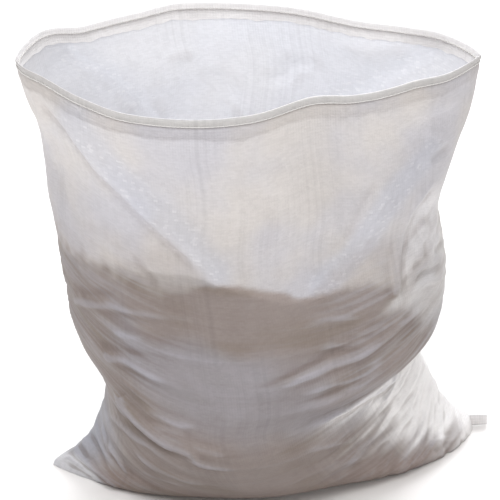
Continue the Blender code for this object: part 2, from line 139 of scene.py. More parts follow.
# How the rim rises and falls along x, on top of its sway: (x, height)
RIM_WAVE_START = 0.35
FRONT_RIM_WAVE = (
    (-0.235, 0), (-0.2, 0.008), (-0.165, 0.0035), (-0.12, -0.002), (-0.06, -0.001), (0, 0.003),
    (0.055, 0.0095), (0.1, 0.0045), (0.155, 0.0045), (0.2, -0.002), (0.231, 0)
)
BACK_RIM_WAVE = (
    (-0.235, 0), (-0.215, 0.0045), (-0.172, -0.0065), (-0.12, -0.0042), (-0.075, 0.0012),
    (-0.02, -0.001), (0.05, -0.0045), (0.112, -0.01), (0.16, -0.006), (0.2, -0.0012), (0.231, 0)
)

# The flat sack: a tube sewn across its bottom
FLAT_WIDTH = 0.555
GIRTH = 2.0 * FLAT_WIDTH
TAPE = 0.0027

# Mesh density: columns in each half, rows in the base and in the wall
COLUMNS = 168
BASE_ROWS = 22
WALL_ROWS = 236
WALL_FINE_BELOW = 0.27
WALL_FINENESS = 1.5
COLUMN_CROWDING = 0.35
CURVE_SAMPLES = 800
FLOOR_CLEARANCE = 0.0003

# Added to the distance of each hidden point, so that the nearest seen one is found
HIDDEN_PENALTY = 1e3

# How far past each side the front's shades run on into the back
SIDE_BLEND = 0.045
INSIDE_BLEND = 0.008

FRONT, BACK = -1, 1


def profile(points, at):
    """Values of a (height, value) profile, on a smooth curve that never overshoots its points."""
    knots, values = np.array(points).T
    slopes = np.diff(values) / np.diff(knots)
    product = slopes[:-1] * slopes[1:]
    total = slopes[:-1] + slopes[1:]
    inner = np.where(product > 0.0, 2.0 * product / np.where(total == 0.0, 1.0, total), 0.0)
    tangents = np.concatenate((slopes[:1], inner, slopes[-1:]))
    height = np.clip(at, knots[0], knots[-1])
    i = np.clip(np.searchsorted(knots, height, side="right") - 1, 0, len(knots) - 2)
    span = knots[i + 1] - knots[i]
    u = (height - knots[i]) / span
    return (values[i] * (1 + 2 * u) * (1 - u) ** 2 + values[i + 1] * u * u * (3 - 2 * u)
            + span * (tangents[i] * u * (1 - u) ** 2 - tangents[i + 1] * u * u * (1 - u)))


def ease(low, high, value):
    """Smooth step from 0 at low to 1 at high."""
    u = np.clip((value - low) / (high - low), 0.0, 1.0)
    return u * u * (3.0 - 2.0 * u)


def noise(x, y, seed, period=256):
    """Smooth noise over a plane, about -1 to 1. It repeats after period whole steps of x."""
    turns = np.random.default_rng(seed).uniform(0.0, 2.0 * math.pi, (256, 256))
    column, row = np.floor(x).astype(int), np.floor(y).astype(int)
    right, up = x - column, y - row

    def corner(i, j):
        turn = turns[(column + i) % period % 256, (row + j) % 256]
        return np.cos(turn) * (right - i) + np.sin(turn) * (up - j)

    u = right ** 3 * (right * (6.0 * right - 15.0) + 10.0)
    v = up ** 3 * (up * (6.0 * up - 15.0) + 10.0)
    low = corner(0, 0) * (1.0 - u) + corner(1, 0) * u
    high = corner(0, 1) * (1.0 - u) + corner(1, 1) * u
    return 1.5 * (low * (1.0 - v) + high * v)


def unit(vectors):
    """Vectors brought to a length of 1."""
    return vectors / np.linalg.norm(vectors, axis=-1, keepdims=True)


def bell(off, width):
    """1 at no distance off, fading softly over a width to each side."""
    return np.exp(-(off / width) ** 2)


def within(start, end, value):
    """1 between a soft start and a soft end, each given as (low, high), and 0 outside them."""
    return ease(*start, value) * (1.0 - ease(*end, value))


def at_least(least, share):
    """A share of 0 to 1, lifted so that it starts from a least share."""
    return least + (1.0 - least) * share


def lengths_along(points):
    """The length of a line of points up to each of them."""
    steps = np.linalg.norm(np.diff(points, axis=0), axis=1)
    return np.concatenate(([0.0], np.cumsum(steps)))


def read_line(at, along, values):
    """Rows of values that are known at some distances along a line, read at other distances."""
    return np.stack([np.interp(at, along, column) for column in np.transpose(values)], axis=1)


def there_and_back(values):
    """A row of values from left to right, and then back to the left."""
    return np.concatenate((values, values[-2:0:-1]))


def column_shares():
    """Each column's share of the way from left to right. They stand closer towards both sides."""
    even = np.linspace(0.0, 1.0, COLUMNS + 1)
    return even - COLUMN_CROWDING * np.sin(2.0 * math.pi * even) / (2.0 * math.pi)


def half_sections(heights, side):
    """One half of the level sections at some heights, as a point for each column."""
    h, front = heights[:, None], side == FRONT
    left_point = profile(FRONT_LEFT_POINT if front else BACK_LEFT_POINT, h)
    right_point = profile(FRONT_RIGHT_POINT if front else BACK_RIGHT_POINT, h)
    across = -np.cos(np.linspace(0.0, math.pi, CURVE_SAMPLES + 1))[None, :]
    deepest = (left_point - right_point) / (left_point + right_point)
    bulge = (1 + across) ** left_point * (1 - across) ** right_point
    bulge /= (1 + deepest) ** left_point * (1 - deepest) ** right_point
    share = 0.5 * (across + 1.0)
    left, right = -profile(LEFT_REACH, h), profile(RIGHT_REACH, h)
    left_back, right_back = profile(LEFT_BACK_SHIFT, h), profile(RIGHT_BACK_SHIFT, h)
    x = left + (right - left) * share
    y = left_back + (right_back - left_back) * share
    y = y + side * profile(FRONT_DEPTH if front else BACK_DEPTH, h) * bulge
    section = np.empty((len(heights), COLUMNS + 1, 3))
    for row, line in enumerate(np.stack((x, y, np.broadcast_to(h, x.shape)), axis=2)):
        length = lengths_along(line)
        section[row] = read_line(length[-1] * column_shares(), length, line)
    return section


def from_line(x, y, line):
    """Points' distances from a line, to its left below 0, and their shares of the way along it."""
    lengths = lengths_along(line)
    nearest = np.full(x.shape, np.inf)
    signed, along = np.zeros_like(nearest), np.zeros_like(nearest)
    for before, start, end in zip(lengths, line, line[1:]):
        way = end - start
        reach = np.hypot(*way)
        if reach == 0.0:
            continue
        right, up = x - start[0], y - start[1]
        share = np.clip((right * way[0] + up * way[1]) / reach ** 2, 0.0, 1.0)
        off = np.hypot(right - share * way[0], up - share * way[1])
        side = np.where(way[1] * right - way[0] * up >= 0.0, 1.0, -1.0)
        closer = off < nearest
        nearest = np.where(closer, off, nearest)
        signed = np.where(closer, off * side, signed)
        along = np.where(closer, (before + share * reach) / lengths[-1], along)
    return signed, along


def fold_height(x, z, folds):
    """How far a face stands out at each (x, z) because of its main folds."""
    total = np.zeros(x.shape)
    for line, height, width in folds:
        total += height * bell(from_line(x, z, np.array(line))[0], width)
    return total


def sway(section, side):
    """Adds the sack's broad unevenness: its foot, its main folds, the rim and its front wave."""
    front = side == FRONT
    x, height = section[..., 0], section[..., 2].copy()
    section[..., 1] += profile(BASE_SWAY, x) * (1.0 - ease(0.0, BASE_SWAY_TOP, height))
    section[..., 1] += side * fold_height(x, height, FRONT_FOLDS if front else BACK_FOLDS)
    middle = np.maximum(0.0, 1.0 - (x / RIM_SWAY_REACH) ** 2)
    rise = (FRONT_RIM_RISE if front else BACK_RIM_RISE) * middle
    wave = profile(FRONT_RIM_WAVE if front else BACK_RIM_WAVE, x)
    section[..., 2] += rise * ease(RIM_SWAY_START, MOUTH_HEIGHT, height)
    section[..., 2] += wave * ease(RIM_WAVE_START, MOUTH_HEIGHT, height)
    if front:
        across = bell(x - WAVE_X, WAVE_WIDTH)
        section[..., 1] += WAVE_DEPTH * across * ease(WAVE_START, MOUTH_HEIGHT, height)
    return section


def wall_heights():
    """Heights of the wall's rows, even down the front's middle and closer where it is filled."""
    z = np.linspace(0.0, MOUTH_HEIGHT, CURVE_SAMPLES)
    steps = np.hypot(np.diff(z), np.diff(profile(FRONT_DEPTH, z)))
    steps *= np.where(z[1:] < WALL_FINE_BELOW, WALL_FINENESS, 1.0)
    length = np.concatenate(([0.0], np.cumsum(steps)))
    return np.interp(np.linspace(0.0, length[-1], WALL_ROWS), length, z)


def base_rows(outline):
    """Rows of the flat base, from the seam out to the outline that the sack rests on."""
    share = column_shares()[:, None]
    seam = outline[0] + (outline[COLUMNS] - outline[0]) * share
    bow = 4.0 * share[:, 0] * (1.0 - share[:, 0])
    seam[:, 1] += SEAM_BOW * bow
    seam, fade = there_and_back(seam), there_and_back(np.minimum(1.0, GROOVE_FADE * bow))
    rows = []
    for out in np.linspace(0.0, 1.0, BASE_ROWS, endpoint=False):
        row = seam + (outline - seam) * out
        from_seam = np.linalg.norm(row - seam, axis=1)
        groove = GROOVE_HEIGHT * fade * bell(from_seam, GROOVE_HALF_WIDTH)
        row[:, 2] = np.maximum(FLOOR_CLEARANCE, groove)
        rows.append(row)
    return np.array(rows)


def seen(place, normal):
    """Pixels where the camera sees some points, and how far their normals turn towards it."""
    away = np.array((0.0, -math.cos(CAMERA_ELEVATION), math.sin(CAMERA_ELEVATION)))
    up = np.array((0.0, math.sin(CAMERA_ELEVATION), math.cos(CAMERA_ELEVATION)))
    off = place - (np.array(CAMERA_AIM) + CAMERA_DISTANCE * away)
    scale = PICTURE * CAMERA_LENS / SENSOR / -(off @ away)
    across = PICTURE / 2 + scale * off[..., 0]
    down = PICTURE / 2 - scale * (off @ up)
    return across, down, -np.sum(normal * off, axis=-1)


class Cloth:
    """The sack's cloth as a grid of points: [row, column]. Rows run from the bottom seam up."""

    def __init__(self):
        heights = wall_heights()
        front, back = (sway(half_sections(heights, side), side) for side in (FRONT, BACK))
        wall = np.concatenate((front, back[:, -2:0:-1]), axis=1)
        wall[..., 2] = np.maximum(wall[..., 2], FLOOR_CLEARANCE)
        self.place = np.concatenate((base_rows(wall[0]), wall))
        self.level = np.concatenate((np.zeros(BASE_ROWS), heights))[:, None]
        self.side = np.where(np.arange(2 * COLUMNS) <= COLUMNS, FRONT, BACK)[None, :]
        share = column_shares()
        self.around = GIRTH / 2 * np.concatenate((share, 2.0 - share[-2:0:-1]))[None, :]
        past_side = np.minimum(np.maximum(0.0, self.around - GIRTH / 2), GIRTH - self.around)
        self.past_side = np.where(self.side == FRONT, 0.0, past_side)
        self.frontness = 1.0 - ease(0.0, SIDE_BLEND, self.past_side)
        self.flow = wrinkle_height(self.place[..., 0], self.place[..., 2])
        self.measure()

    def measure(self):
        """Works out the outward normals, and each point's distance below the rim."""
        along = np.roll(self.place, -1, axis=1) - np.roll(self.place, 1, axis=1)
        normal = np.cross(along, np.gradient(self.place, axis=0))
        self.normal = normal / np.maximum(1e-12, np.linalg.norm(normal, axis=2, keepdims=True))
        steps = np.linalg.norm(np.diff(self.place, axis=0), axis=2)
        below = np.cumsum(steps[::-1], axis=0)[::-1]
        self.down = np.concatenate((below, np.zeros((1, 2 * COLUMNS))))

    def pixels(self):
        """Where the camera sees each point, as pixels across its picture and down it."""
        return seen(self.place, self.normal)[:2]

    def layer(self, sizes, across=None):
        """One layer of noise, over the cloth's depth below the rim or over another coordinate."""
        size_across, size_along, seed, *shape = sizes
        cells = max(1, round(GIRTH / size_along))
        across = self.down if across is None else across
        value = noise(self.around / GIRTH * cells, across / size_across, seed, cells)
        height, *sharp = shape or (1.0,)
        return height * (ridged(value, *sharp) if sharp else value)

    def find(self, point, face):
        """Where a point lies on the cloth, as (around, down).

        On the front and inside it is a pixel of the camera's picture, and on the back it is (x, z).
        """
        if face == "back":
            off = np.hypot(self.place[..., 0] - point[0], self.place[..., 2] - point[1])
            hidden = self.side != BACK
        else:
            across, down, towards = seen(self.place, self.normal)
            off = np.hypot(across - point[0], down - point[1])
            hidden = towards < 0.0 if face == "front" else towards > 0.0
        row, column = np.unravel_index(np.argmin(off + HIDDEN_PENALTY * hidden), off.shape)
        return self.around[0, column], self.down[row, column]

    def push(self, amount):
        """Moves each point outward by an amount, and never through the floor."""
        self.place = self.place + self.normal * amount[..., None]
        self.place[..., 2] = np.maximum(self.place[..., 2], FLOOR_CLEARANCE)


# Wrinkles of the filled part. Each follows a line that sags in the middle and runs up to both
# sides: (height at the middle, rise at the waists)
WAIST_LEFT = 0.150
WAIST_RIGHT = 0.172
WRINKLE_RISE = ((-0.2, 0.03), (0, 0.044), (0.04, 0.062), (0.12, 0.046), (0.2, 0.026), (0.5, 0.012))
WRINKLE_CURL = 1.9
WRINKLE_SPAN = (-0.2, 0.5)
HALVINGS = 24


def wrinkle_height(x, z):
    """The height at the middle of the wrinkle line that passes through each point."""
    reach = np.where(x < 0.0, -x / WAIST_LEFT, x / WAIST_RIGHT) ** WRINKLE_CURL
    low, high = (np.full(x.shape, end) for end in WRINKLE_SPAN)
    for _ in range(HALVINGS):
        middle = 0.5 * (low + high)
        above = middle + profile(WRINKLE_RISE, middle) * reach > z
        high = np.where(above, middle, high)
        low = np.where(above, low, middle)
    return 0.5 * (low + high)


# Layers of noise on the cloth: (size across the girth, size along it, seed). A layer that shapes
# the cloth has its height too, and a sharpness if it makes narrow ridges.
LONG_WRINKLES = (0.036, 0.34, 11, 0.0022, 2.0)
SHORT_WRINKLES = (0.018, 0.19, 12, 0.0013, 2.2)
SOFT_WRINKLES = (0.060, 0.37, 13, 0.0022)
FINE_WRINKLES = (0.0095, 0.14, 14, 0.0008, 2.0)
FINEST_WRINKLES = (0.0052, 0.10, 15, 0.0004)
WIDE_WAVES = (0.16, 0.16, 21)
SMALL_WAVES = (0.07, 0.07, 22)
EDGE_WAVES = (1.0, 0.05, 31)
FLAP_WAVES = (1.0, 0.06, 32)
EDGE_FRAY = (1.0, 0.011, 33)
FILL_RAGGED = (0.03, 0.03, 41)
FILL_UNEVEN = (0.09, 0.09, 42)
FILL_GRAINED = (0.011, 0.011, 43)
EAR_STREAKS = (0.008, 0.08, 44)
BELLY_PATCHES = (0.07, 0.07, 45)
POCKET_HOLLOWS = (0.016, 0.055, 46)
POCKET_STREAKS = (0.010, 0.07, 47)
CRUMPLE_PATCHES = (0.13, 0.13, 51)
WIDE_CRUMPLES = (0.030, 0.024, 52, 0.0011)
SMALL_CRUMPLES = (0.013, 0.011, 53, 0.0005)
RIDGE_REST = 0.30


def ridged(value, sharp):
    """Noise turned to narrow ridges between wide hollows."""
    return (1.0 - np.minimum(1.0, sharp * np.abs(value))) ** 1.5 - RIDGE_REST


# The sides of each face, where the wrinkles draw together
SIDES = (0.02, 0.15)


def side_share(cloth):
    """0 down the middle of each face and 1 at its sides."""
    return ease(*SIDES, np.abs(cloth.place[..., 0]))


# The empty right ear's fine folds. They spread from one pixel of the camera's picture, below an
# edge in it, each some degrees wide.
FAN_FROM = (440, 338)
FAN_EDGE = ((300, 470), (340, 440), (385, 404), (402, 388), (425, 372))
FAN_EDGE_BLUR = (-4.0, 14.0)
FAN_START = (325.0, 385.0)
FAN_REACH = 85.0
FAN_RIDGE = 0.0014
FAN_RIDGE_TURN = 5.98
FAN_RIDGE_SHARP = 2.0
FAN_FINE = 0.0008
FAN_FINE_TURN = 2.6
FAN_FINE_LIFT = 0.9


def fan_share(cloth):
    """How surely each point lies where the right ear's folds fan out."""
    across, down = cloth.pixels()
    below_edge = ease(*FAN_EDGE_BLUR, down - np.interp(across, *np.transpose(FAN_EDGE)))
    return cloth.frontness * below_edge * ease(*FAN_START, across)


def fan_folds(cloth):
    """How far the right ear's folds stand out: ridges with finer folds between them."""
    across, down = np.subtract(cloth.pixels(), np.reshape(FAN_FROM, (2, 1, 1)))
    turn, reach = np.degrees(np.arctan2(down, across)), np.hypot(down, across) / FAN_REACH
    ridges = ridged(noise(turn / FAN_RIDGE_TURN, reach, 61), FAN_RIDGE_SHARP) + RIDGE_REST
    fine = noise(turn / FAN_FINE_TURN, reach, 62) + FAN_FINE_LIFT
    return fan_share(cloth) * (FAN_RIDGE * ridges + FAN_FINE * fine)


# Where the tension wrinkles start and end, by height or along x, and what is left of them where
# they are weak. The finer layers are shifted, so that none follows another.
WRINKLES_FROM = (0.004, 0.03)
WRINKLES_UP_TO = (0.19, 0.29)
MIDDLE_LONG = 0.42
MIDDLE_SHORT = 0.22
BUSY_FROM = (-0.06, 0.06)
BUSY_LEAST = 0.45
CALM_FOOT_UNDER = (0.08, 0.03)
CALM_FOOT_FROM = (0.0, 0.08)
CALM_FOOT = 0.6
CALM_FAN = 0.80
WRINKLE_SHIFTS = (0.4, 0.9, 1.7)


def tension_wrinkles(cloth):
    """The wrinkles that run from waist to waist round the filled part, strongest at the sides."""
    x, line = cloth.place[..., 0], cloth.flow
    long = cloth.layer(LONG_WRINKLES, line) + cloth.layer(SOFT_WRINKLES, line)
    layers = (SHORT_WRINKLES, FINE_WRINKLES, FINEST_WRINKLES)
    short, fine, finest = (cloth.layer(sizes, line + shift)
                           for shift, sizes in zip(WRINKLE_SHIFTS, layers))
    busy = at_least(BUSY_LEAST, ease(*BUSY_FROM, x))
    foot = CALM_FOOT * ease(*CALM_FOOT_UNDER, cloth.level) * ease(*CALM_FOOT_FROM, x)
    filled = within(WRINKLES_FROM, WRINKLES_UP_TO, cloth.level)
    filled = filled * (1.0 - np.maximum(CALM_FAN * fan_share(cloth), foot))
    sides = side_share(cloth)
    return filled * (at_least(MIDDLE_LONG, sides) * long
                     + at_least(MIDDLE_SHORT, sides) * (short + busy * (fine + finest)))


CRUMPLES_FROM = (0.22, 0.28)
CRUMPLES_UP_TO = (0.395, 0.42)
CRUMPLE_PATCH_SHIFT = 0.3
CRUMPLE_PATCH_EDGE = (-0.25, 0.55)
CRUMPLE_LEAST = 0.35
CRUMPLE_IN_POCKET = 1.2


def crumple(cloth):
    """Small soft crumples of the stiff cloth, in patches where it stands free."""
    patch = cloth.layer(CRUMPLE_PATCHES, cloth.down + CRUMPLE_PATCH_SHIFT)
    patch = at_least(CRUMPLE_LEAST, ease(*CRUMPLE_PATCH_EDGE, patch))
    free = within(CRUMPLES_FROM, CRUMPLES_UP_TO, cloth.level)
    wide = cloth.layer(WIDE_CRUMPLES)
    small = cloth.layer(SMALL_CRUMPLES)
    return (wide + small) * free * patch * (1.0 + CRUMPLE_IN_POCKET * pocket_share(cloth))


WAVES_FROM = (0.0, 0.03)
WIDE_WAVE = 0.0010
SMALL_WAVE = 0.0005
FREE_WAVE = 0.0010
FREE_FROM = (0.24, 0.36)
FREE_UP_TO = (0.40, 0.444)


def broad_waves(cloth):
    """Soft unevenness of the whole cloth, larger where it stands free."""
    free = FREE_WAVE * within(FREE_FROM, FREE_UP_TO, cloth.level)
    wide = cloth.layer(WIDE_WAVES) * (WIDE_WAVE + free)
    small = cloth.layer(SMALL_WAVES) * (SMALL_WAVE + free)
    return (wide + small) * ease(*WAVES_FROM, cloth.level)


# Fine folds and wrinkles of the cloth. Each is a line of points from left to right, how far it
# stands out (below 0 it is a hollow) and its widths above and below the line, in millimetres, and
# often the shares of the line over which it fades in and out. The points are pixels of the
# camera's picture, and (x, z) places on the back. A lip stands out above its line and falls back
# below it.
FRONT_LIPS = (
    # The long crease from the mouth's left corner down to the fill
    (((37, 98), (65, 128), (92, 165), (123, 198), (158, 230), (190, 260), (206, 273)), 2.4, 8, 4.5,
     0.1, 0.12),
    # The edge of the loose pocket on the right
    (((392, 301), (398, 296), (401, 284), (402, 262), (403, 242), (407, 226), (415, 211),
     (425, 197), (437, 180)), 2.4, 5, 5, 0.15, 0.15),
    # The bulge that hangs over the left ear
    (((112, 385), (117, 396), (124, 409), (133, 421), (143, 431), (156, 441), (173, 448),
     (190, 453), (212, 457)), 4, 10, 6, 0.12, 0.4),
)
FRONT_CREASES = (
    # What the long crease pulls with it
    (((120, 172), (150, 183), (167, 193), (198, 203)), 1.1, 4, 7, 0.4, 0.5),
    (((128, 250), (138, 265), (150, 277), (164, 291)), -2, 6, 6),
    (((20, 76), (33, 98), (42, 120), (46, 145)), 1.8, 6, 6),
    (((48, 150), (62, 190), (76, 225)), -1.6, 12, 10),
    # Beside the broad ridge from the mouth's right corner
    (((350, 258), (378, 218), (396, 190), (418, 163), (440, 140)), 1.6, 6, 5),
    (((335, 250), (350, 233), (363, 203), (377, 183), (388, 166)), -1.4, 6, 6),
    (((432, 255), (438, 249), (444, 241)), -4, 6, 6),
    (((412, 252), (420, 240), (430, 230)), 2, 5, 5),
    (((408, 272), (420, 262), (428, 248)), -2.2, 5, 4),
    (((413, 287), (425, 272), (441, 258)), -2.4, 4, 4),
    (((405, 301), (423, 283), (443, 267)), 2.6, 4, 4),
    (((386, 326), (403, 320), (417, 312), (432, 300)), 1.8, 4, 4),
    (((416, 230), (426, 220)), 2.2, 7, 7),
    (((412, 120), (440, 106), (464, 98)), 1.8, 7, 6),
    (((424, 134), (437, 131), (449, 133)), 1.2, 4, 4),
    (((430, 166), (442, 153), (453, 144)), -2.4, 6, 6),
    (((305, 284), (320, 279), (338, 275)), 1.4, 6, 6),
    # Across the left of the filled part
    (((73, 301), (95, 304), (123, 309), (160, 317), (202, 324)), 2.6, 7, 4, 0.1, 0.4),
    (((74, 290), (95, 292), (128, 293)), -1.2, 6, 6, 0.1, 0.4),
    (((112, 331), (137, 337), (154, 341)), 1.2, 4, 3),
    (((98, 345), (125, 350), (150, 354), (180, 361)), -1.4, 6, 5, 0.15, 0.4),
    (((102, 355), (123, 361), (138, 368), (153, 376), (168, 382), (190, 389)), 3.2, 8, 4.5,
     0.15, 0.4),
    # The wrinkles that fan out below the bulge over the left ear
    (((110, 388), (114, 397), (120, 408), (130, 421)), 1.8, 4, 3),
    (((138, 403), (160, 418), (178, 424), (204, 430)), 2.2, 6, 3.5),
    (((150, 422), (167, 429), (188, 436)), 1.6, 5, 3.5),
    (((107, 411), (123, 426), (138, 438), (150, 448), (168, 462)), 2.8, 9, 5),
    (((156, 443), (175, 450), (188, 457), (200, 463), (217, 467), (245, 470)), 3.2, 7, 4,
     0.2, 0.4),
    (((188, 446), (217, 455), (232, 459)), 1.4, 5, 4),
    (((102, 419), (104, 434), (108, 448), (115, 460)), 3.4, 4, 3),
    (((104, 440), (109, 452), (115, 462)), -2, 3, 3),
    (((107, 442), (116, 455), (122, 465), (131, 476)), 3.8, 5, 3),
    (((86, 436), (89, 447), (96, 459)), 3, 4, 3, 0.5, 0.3),
    (((80, 441), (84, 452), (92, 465)), -2, 4, 3, 0.5, 0.3),
    (((92, 430), (96, 444), (103, 458), (112, 472)), -2.2, 3, 3),
    (((74, 449), (90, 464), (107, 477), (124, 489)), 4.2, 6, 3),
    (((66, 463), (82, 474), (98, 484)), -2.4, 5, 5),
    (((62, 457), (72, 460), (86, 470)), 2.6, 4, 3),
    (((126, 445), (148, 463), (167, 474), (192, 481), (220, 484)), 1.8, 7, 5),
    (((138, 467), (165, 480), (190, 486)), 1.2, 5, 4),
    # Across the right of the filled part
    (((290, 326), (320, 321), (343, 318), (372, 313)), 2.2, 6, 4, 0.5, 0.5),
    (((348, 336), (370, 330), (392, 324)), 1.2, 4, 3),
    (((316, 350), (345, 344), (367, 337)), 1.4, 4, 4),
    (((248, 387), (288, 378), (323, 358), (350, 349), (374, 340)), -1.4, 5, 5),
    (((260, 389), (288, 385), (303, 379), (320, 372), (336, 365), (353, 358), (370, 350),
     (387, 340)), 3.2, 7, 3.5, 0.35, 0.2),
    (((283, 398), (305, 395), (325, 388), (343, 381), (360, 374), (375, 365), (390, 354)), 3, 9, 4,
     0.35, 0.2),
    (((336, 392), (357, 384), (372, 375), (386, 365)), 1.6, 5, 3),
    # The bulge that hangs over the right ear, and the light ridge right under it
    (((300, 430), (321, 420), (342, 409), (361, 398), (379, 387), (394, 377), (402, 369)), 6.8, 10,
     4.8, 0.45, 0.15),
    (((371, 407), (387, 398), (397, 388), (405, 375)), 1.4, 4, 3),
    (((375, 419), (390, 407), (402, 393)), -1.2, 3, 3),
    (((378, 429), (392, 417), (400, 408), (410, 397), (420, 384)), -1.6, 3.5, 3.5),
    (((368, 449), (387, 436), (398, 426), (409, 416), (419, 402)), 2.4, 8, 4),
    (((343, 453), (372, 437), (395, 419), (412, 400), (420, 390)), 1.2, 4, 4),
    (((300, 452), (335, 445), (362, 434)), 1.4, 6, 4),
    (((432, 431), (438, 418), (437, 405), (432, 393)), 1.4, 4, 4),
    (((443, 430), (447, 417), (443, 403)), 1.2, 3, 3),
    (((300, 478), (345, 462), (385, 443)), 1.6, 10, 8, 0.4, 0.5),
    (((290, 492), (343, 470), (385, 453)), -1, 7, 7, 0.3, 0.5),
    (((422, 453), (437, 449), (450, 443), (459, 436)), -1.4, 4, 5),
    (((423, 447), (437, 441), (451, 435)), 1.6, 4, 3),
    (((448, 455), (453, 447), (460, 440)), 2.4, 3, 3),
)

# On the back wall, seen through the mouth: a ridge there stands out towards the back
INSIDE_CREASES = (
    (((260, 84), (283, 75), (298, 65), (322, 68)), 3, 7, 7),
    (((200, 68), (215, 73), (225, 83), (232, 97), (231, 113)), 2.2, 6, 6),
    (((160, 62), (180, 55), (200, 52)), -2, 10, 8),
    (((330, 45), (370, 50), (420, 48)), -2.4, 12, 12),
)

BACK_CREASES = (
    (((-0.196, 0.425), (-0.15, 0.385), (-0.11, 0.335), (-0.085, 0.3)), 2.4, 7, 4.5, 0.1, 0.15),
    (((0.06, 0.312), (0.105, 0.345), (0.15, 0.385), (0.2, 0.428)), 2.6, 4.5, 7, 0.15, 0.1),
    (((-0.03, 0.352), (-0.018, 0.33), (-0.004, 0.3)), -2.2, 7, 7),
    (((0.12, 0.3), (0.15, 0.285), (0.174, 0.26)), -3, 6, 6),
    (((-0.185, 0.302), (-0.15, 0.29), (-0.112, 0.296)), 2.6, 6, 4),
    (((-0.172, 0.21), (-0.12, 0.192), (-0.05, 0.196)), 3, 6, 4),
    (((0.03, 0.2), (0.095, 0.204), (0.165, 0.232)), 3, 7, 4.5),
    (((0.05, 0.178), (0.11, 0.18), (0.168, 0.2)), -1.8, 5, 5),
    (((-0.152, 0.122), (-0.1, 0.136), (-0.035, 0.142)), 3.4, 8, 4.5),
    (((0.03, 0.132), (0.09, 0.144), (0.152, 0.172)), 3.6, 8, 4.5),
    (((-0.152, 0.088), (-0.1, 0.102), (-0.03, 0.098)), 3, 7, 4),
    (((0.05, 0.084), (0.11, 0.094), (0.162, 0.122)), 3, 7, 4),
    (((-0.17, 0.056), (-0.12, 0.074), (-0.06, 0.068)), 2.6, 6, 4),
    (((0.08, 0.048), (0.14, 0.062), (0.19, 0.092)), 2.6, 6, 4),
)
LINE_STEPS = 4
CREASE_REACH = 4.0
CREASE_FADE = 0.30
MILLIMETRE = 0.001


def smooth_line(points):
    """More points along a smooth curve through the given ones."""
    given = np.array([points[0], *points, points[-1]], dtype=float)
    line = []
    for before, start, end, after in zip(given, given[1:], given[2:], given[3:]):
        for u in np.arange(LINE_STEPS) / LINE_STEPS:
            line.append(0.5 * (2 * start + (end - before) * u
                               + (2 * before - 5 * start + 4 * end - after) * u ** 2
                               + (3 * start - before - 3 * end + after) * u ** 3))
    return np.array([*line, given[-1]])


def add_crease(total, cloth, face, lip, points, height, above, below, start=CREASE_FADE,
               end=CREASE_FADE):
    """Adds one crease to the heights by which the cloth is pushed out."""
    above, below = MILLIMETRE * above, MILLIMETRE * below
    found = np.array([cloth.find(point, face) for point in points])
    found[:, 0] = np.unwrap(found[:, 0], period=GIRTH)
    line = smooth_line(found)
    middle, half = line.mean(axis=0), np.ptp(line, axis=0) + CREASE_REACH * max(above, below)
    off = (cloth.around - middle[0] + GIRTH / 2) % GIRTH - GIRTH / 2
    off = np.broadcast_to(off, total.shape)
    near = (np.abs(off) < half[0]) & (np.abs(cloth.down - middle[1]) < half[1])
    signed, along = from_line(off[near] + middle[0], cloth.down[near], line)
    # Depths below the rim grow downwards, so what lies above the line is above 0
    off = signed / np.where(signed > 0.0, above, below)
    shape = off * np.exp(0.5 - 0.5 * off ** 2) if lip else bell(off, 1.0)
    fade = ease(0.0, start, along) * ease(0.0, end, 1.0 - along)
    total[near] += MILLIMETRE * height * shape * fade


def crease_heights(cloth):
    """How far all the single creases push the cloth out."""
    total = np.zeros_like(cloth.down)
    for face, lip, creases in (("front", True, FRONT_LIPS), ("front", False, FRONT_CREASES),
                               ("inside", False, INSIDE_CREASES), ("back", False, BACK_CREASES)):
        for crease in creases:
            add_crease(total, cloth, face, lip, *crease)
    return total


# The hem: its tape stands out above the stitching, and its raw edge hangs free inside. Where its
# puff lies and how far it reaches are shares of the stitching's drop, and inside of its depth.
HEM_PUFF = 0.0008
HEM_PUFF_AT = 0.45
HEM_PUFF_REACH = 0.42
HEM_PINCH = 0.0006
HEM_PINCH_BELOW = 0.001
HEM_PINCH_WIDTH = 0.0022
HEM_STEP = 0.0005
HEM_STEP_BLUR = 0.005
HEM_EDGE_BLUR = 0.002
FLAP_ROWS = 10
FLAP_GAP = 0.0009
FLAP_PUFF_AT = 0.18
FLAP_PUFF_REACH = 0.16
FLAP_FREE = 0.0016
FLAP_FREE_FROM = 0.5
FLAP_EDGE = 0.0030
FLAP_FRAY = 0.0022


def hem_relief(cloth):
    """How the doubled cloth of the hem stands out, pinched along its stitching."""
    down, edge, stitching = cloth.down, hem_edge(cloth), HEM_STITCH_DROP
    puff = HEM_PUFF * bell(down / stitching - HEM_PUFF_AT, HEM_PUFF_REACH)
    pinch = HEM_PINCH * bell(down - stitching - HEM_PINCH_BELOW, HEM_PINCH_WIDTH)
    lower = within((stitching, stitching + HEM_STEP_BLUR),
                   (edge - HEM_EDGE_BLUR, edge + HEM_EDGE_BLUR), down)
    return puff - pinch + HEM_STEP * lower


def hem_edge(cloth):
    """How far below the rim the hem's raw edge lies, around the mouth."""
    rim = np.zeros_like(cloth.around)
    return (HEM_DEPTH + FLAP_EDGE * cloth.layer(EDGE_WAVES, rim)
            + FLAP_FRAY * cloth.layer(EDGE_FRAY, rim))


def below_rim(cloth, depth):
    """Places and outward normals all the way round the cloth, at some depths below the rim."""
    depth = np.broadcast_to(depth, 2 * COLUMNS)[:, None]
    lines = np.concatenate((cloth.place, cloth.normal), axis=2)[::-1]
    found = np.array([read_line(depth[column], cloth.down[::-1, column], lines[:, column])[0]
                      for column in range(2 * COLUMNS)])
    return found[:, :3], unit(found[:, 3:])


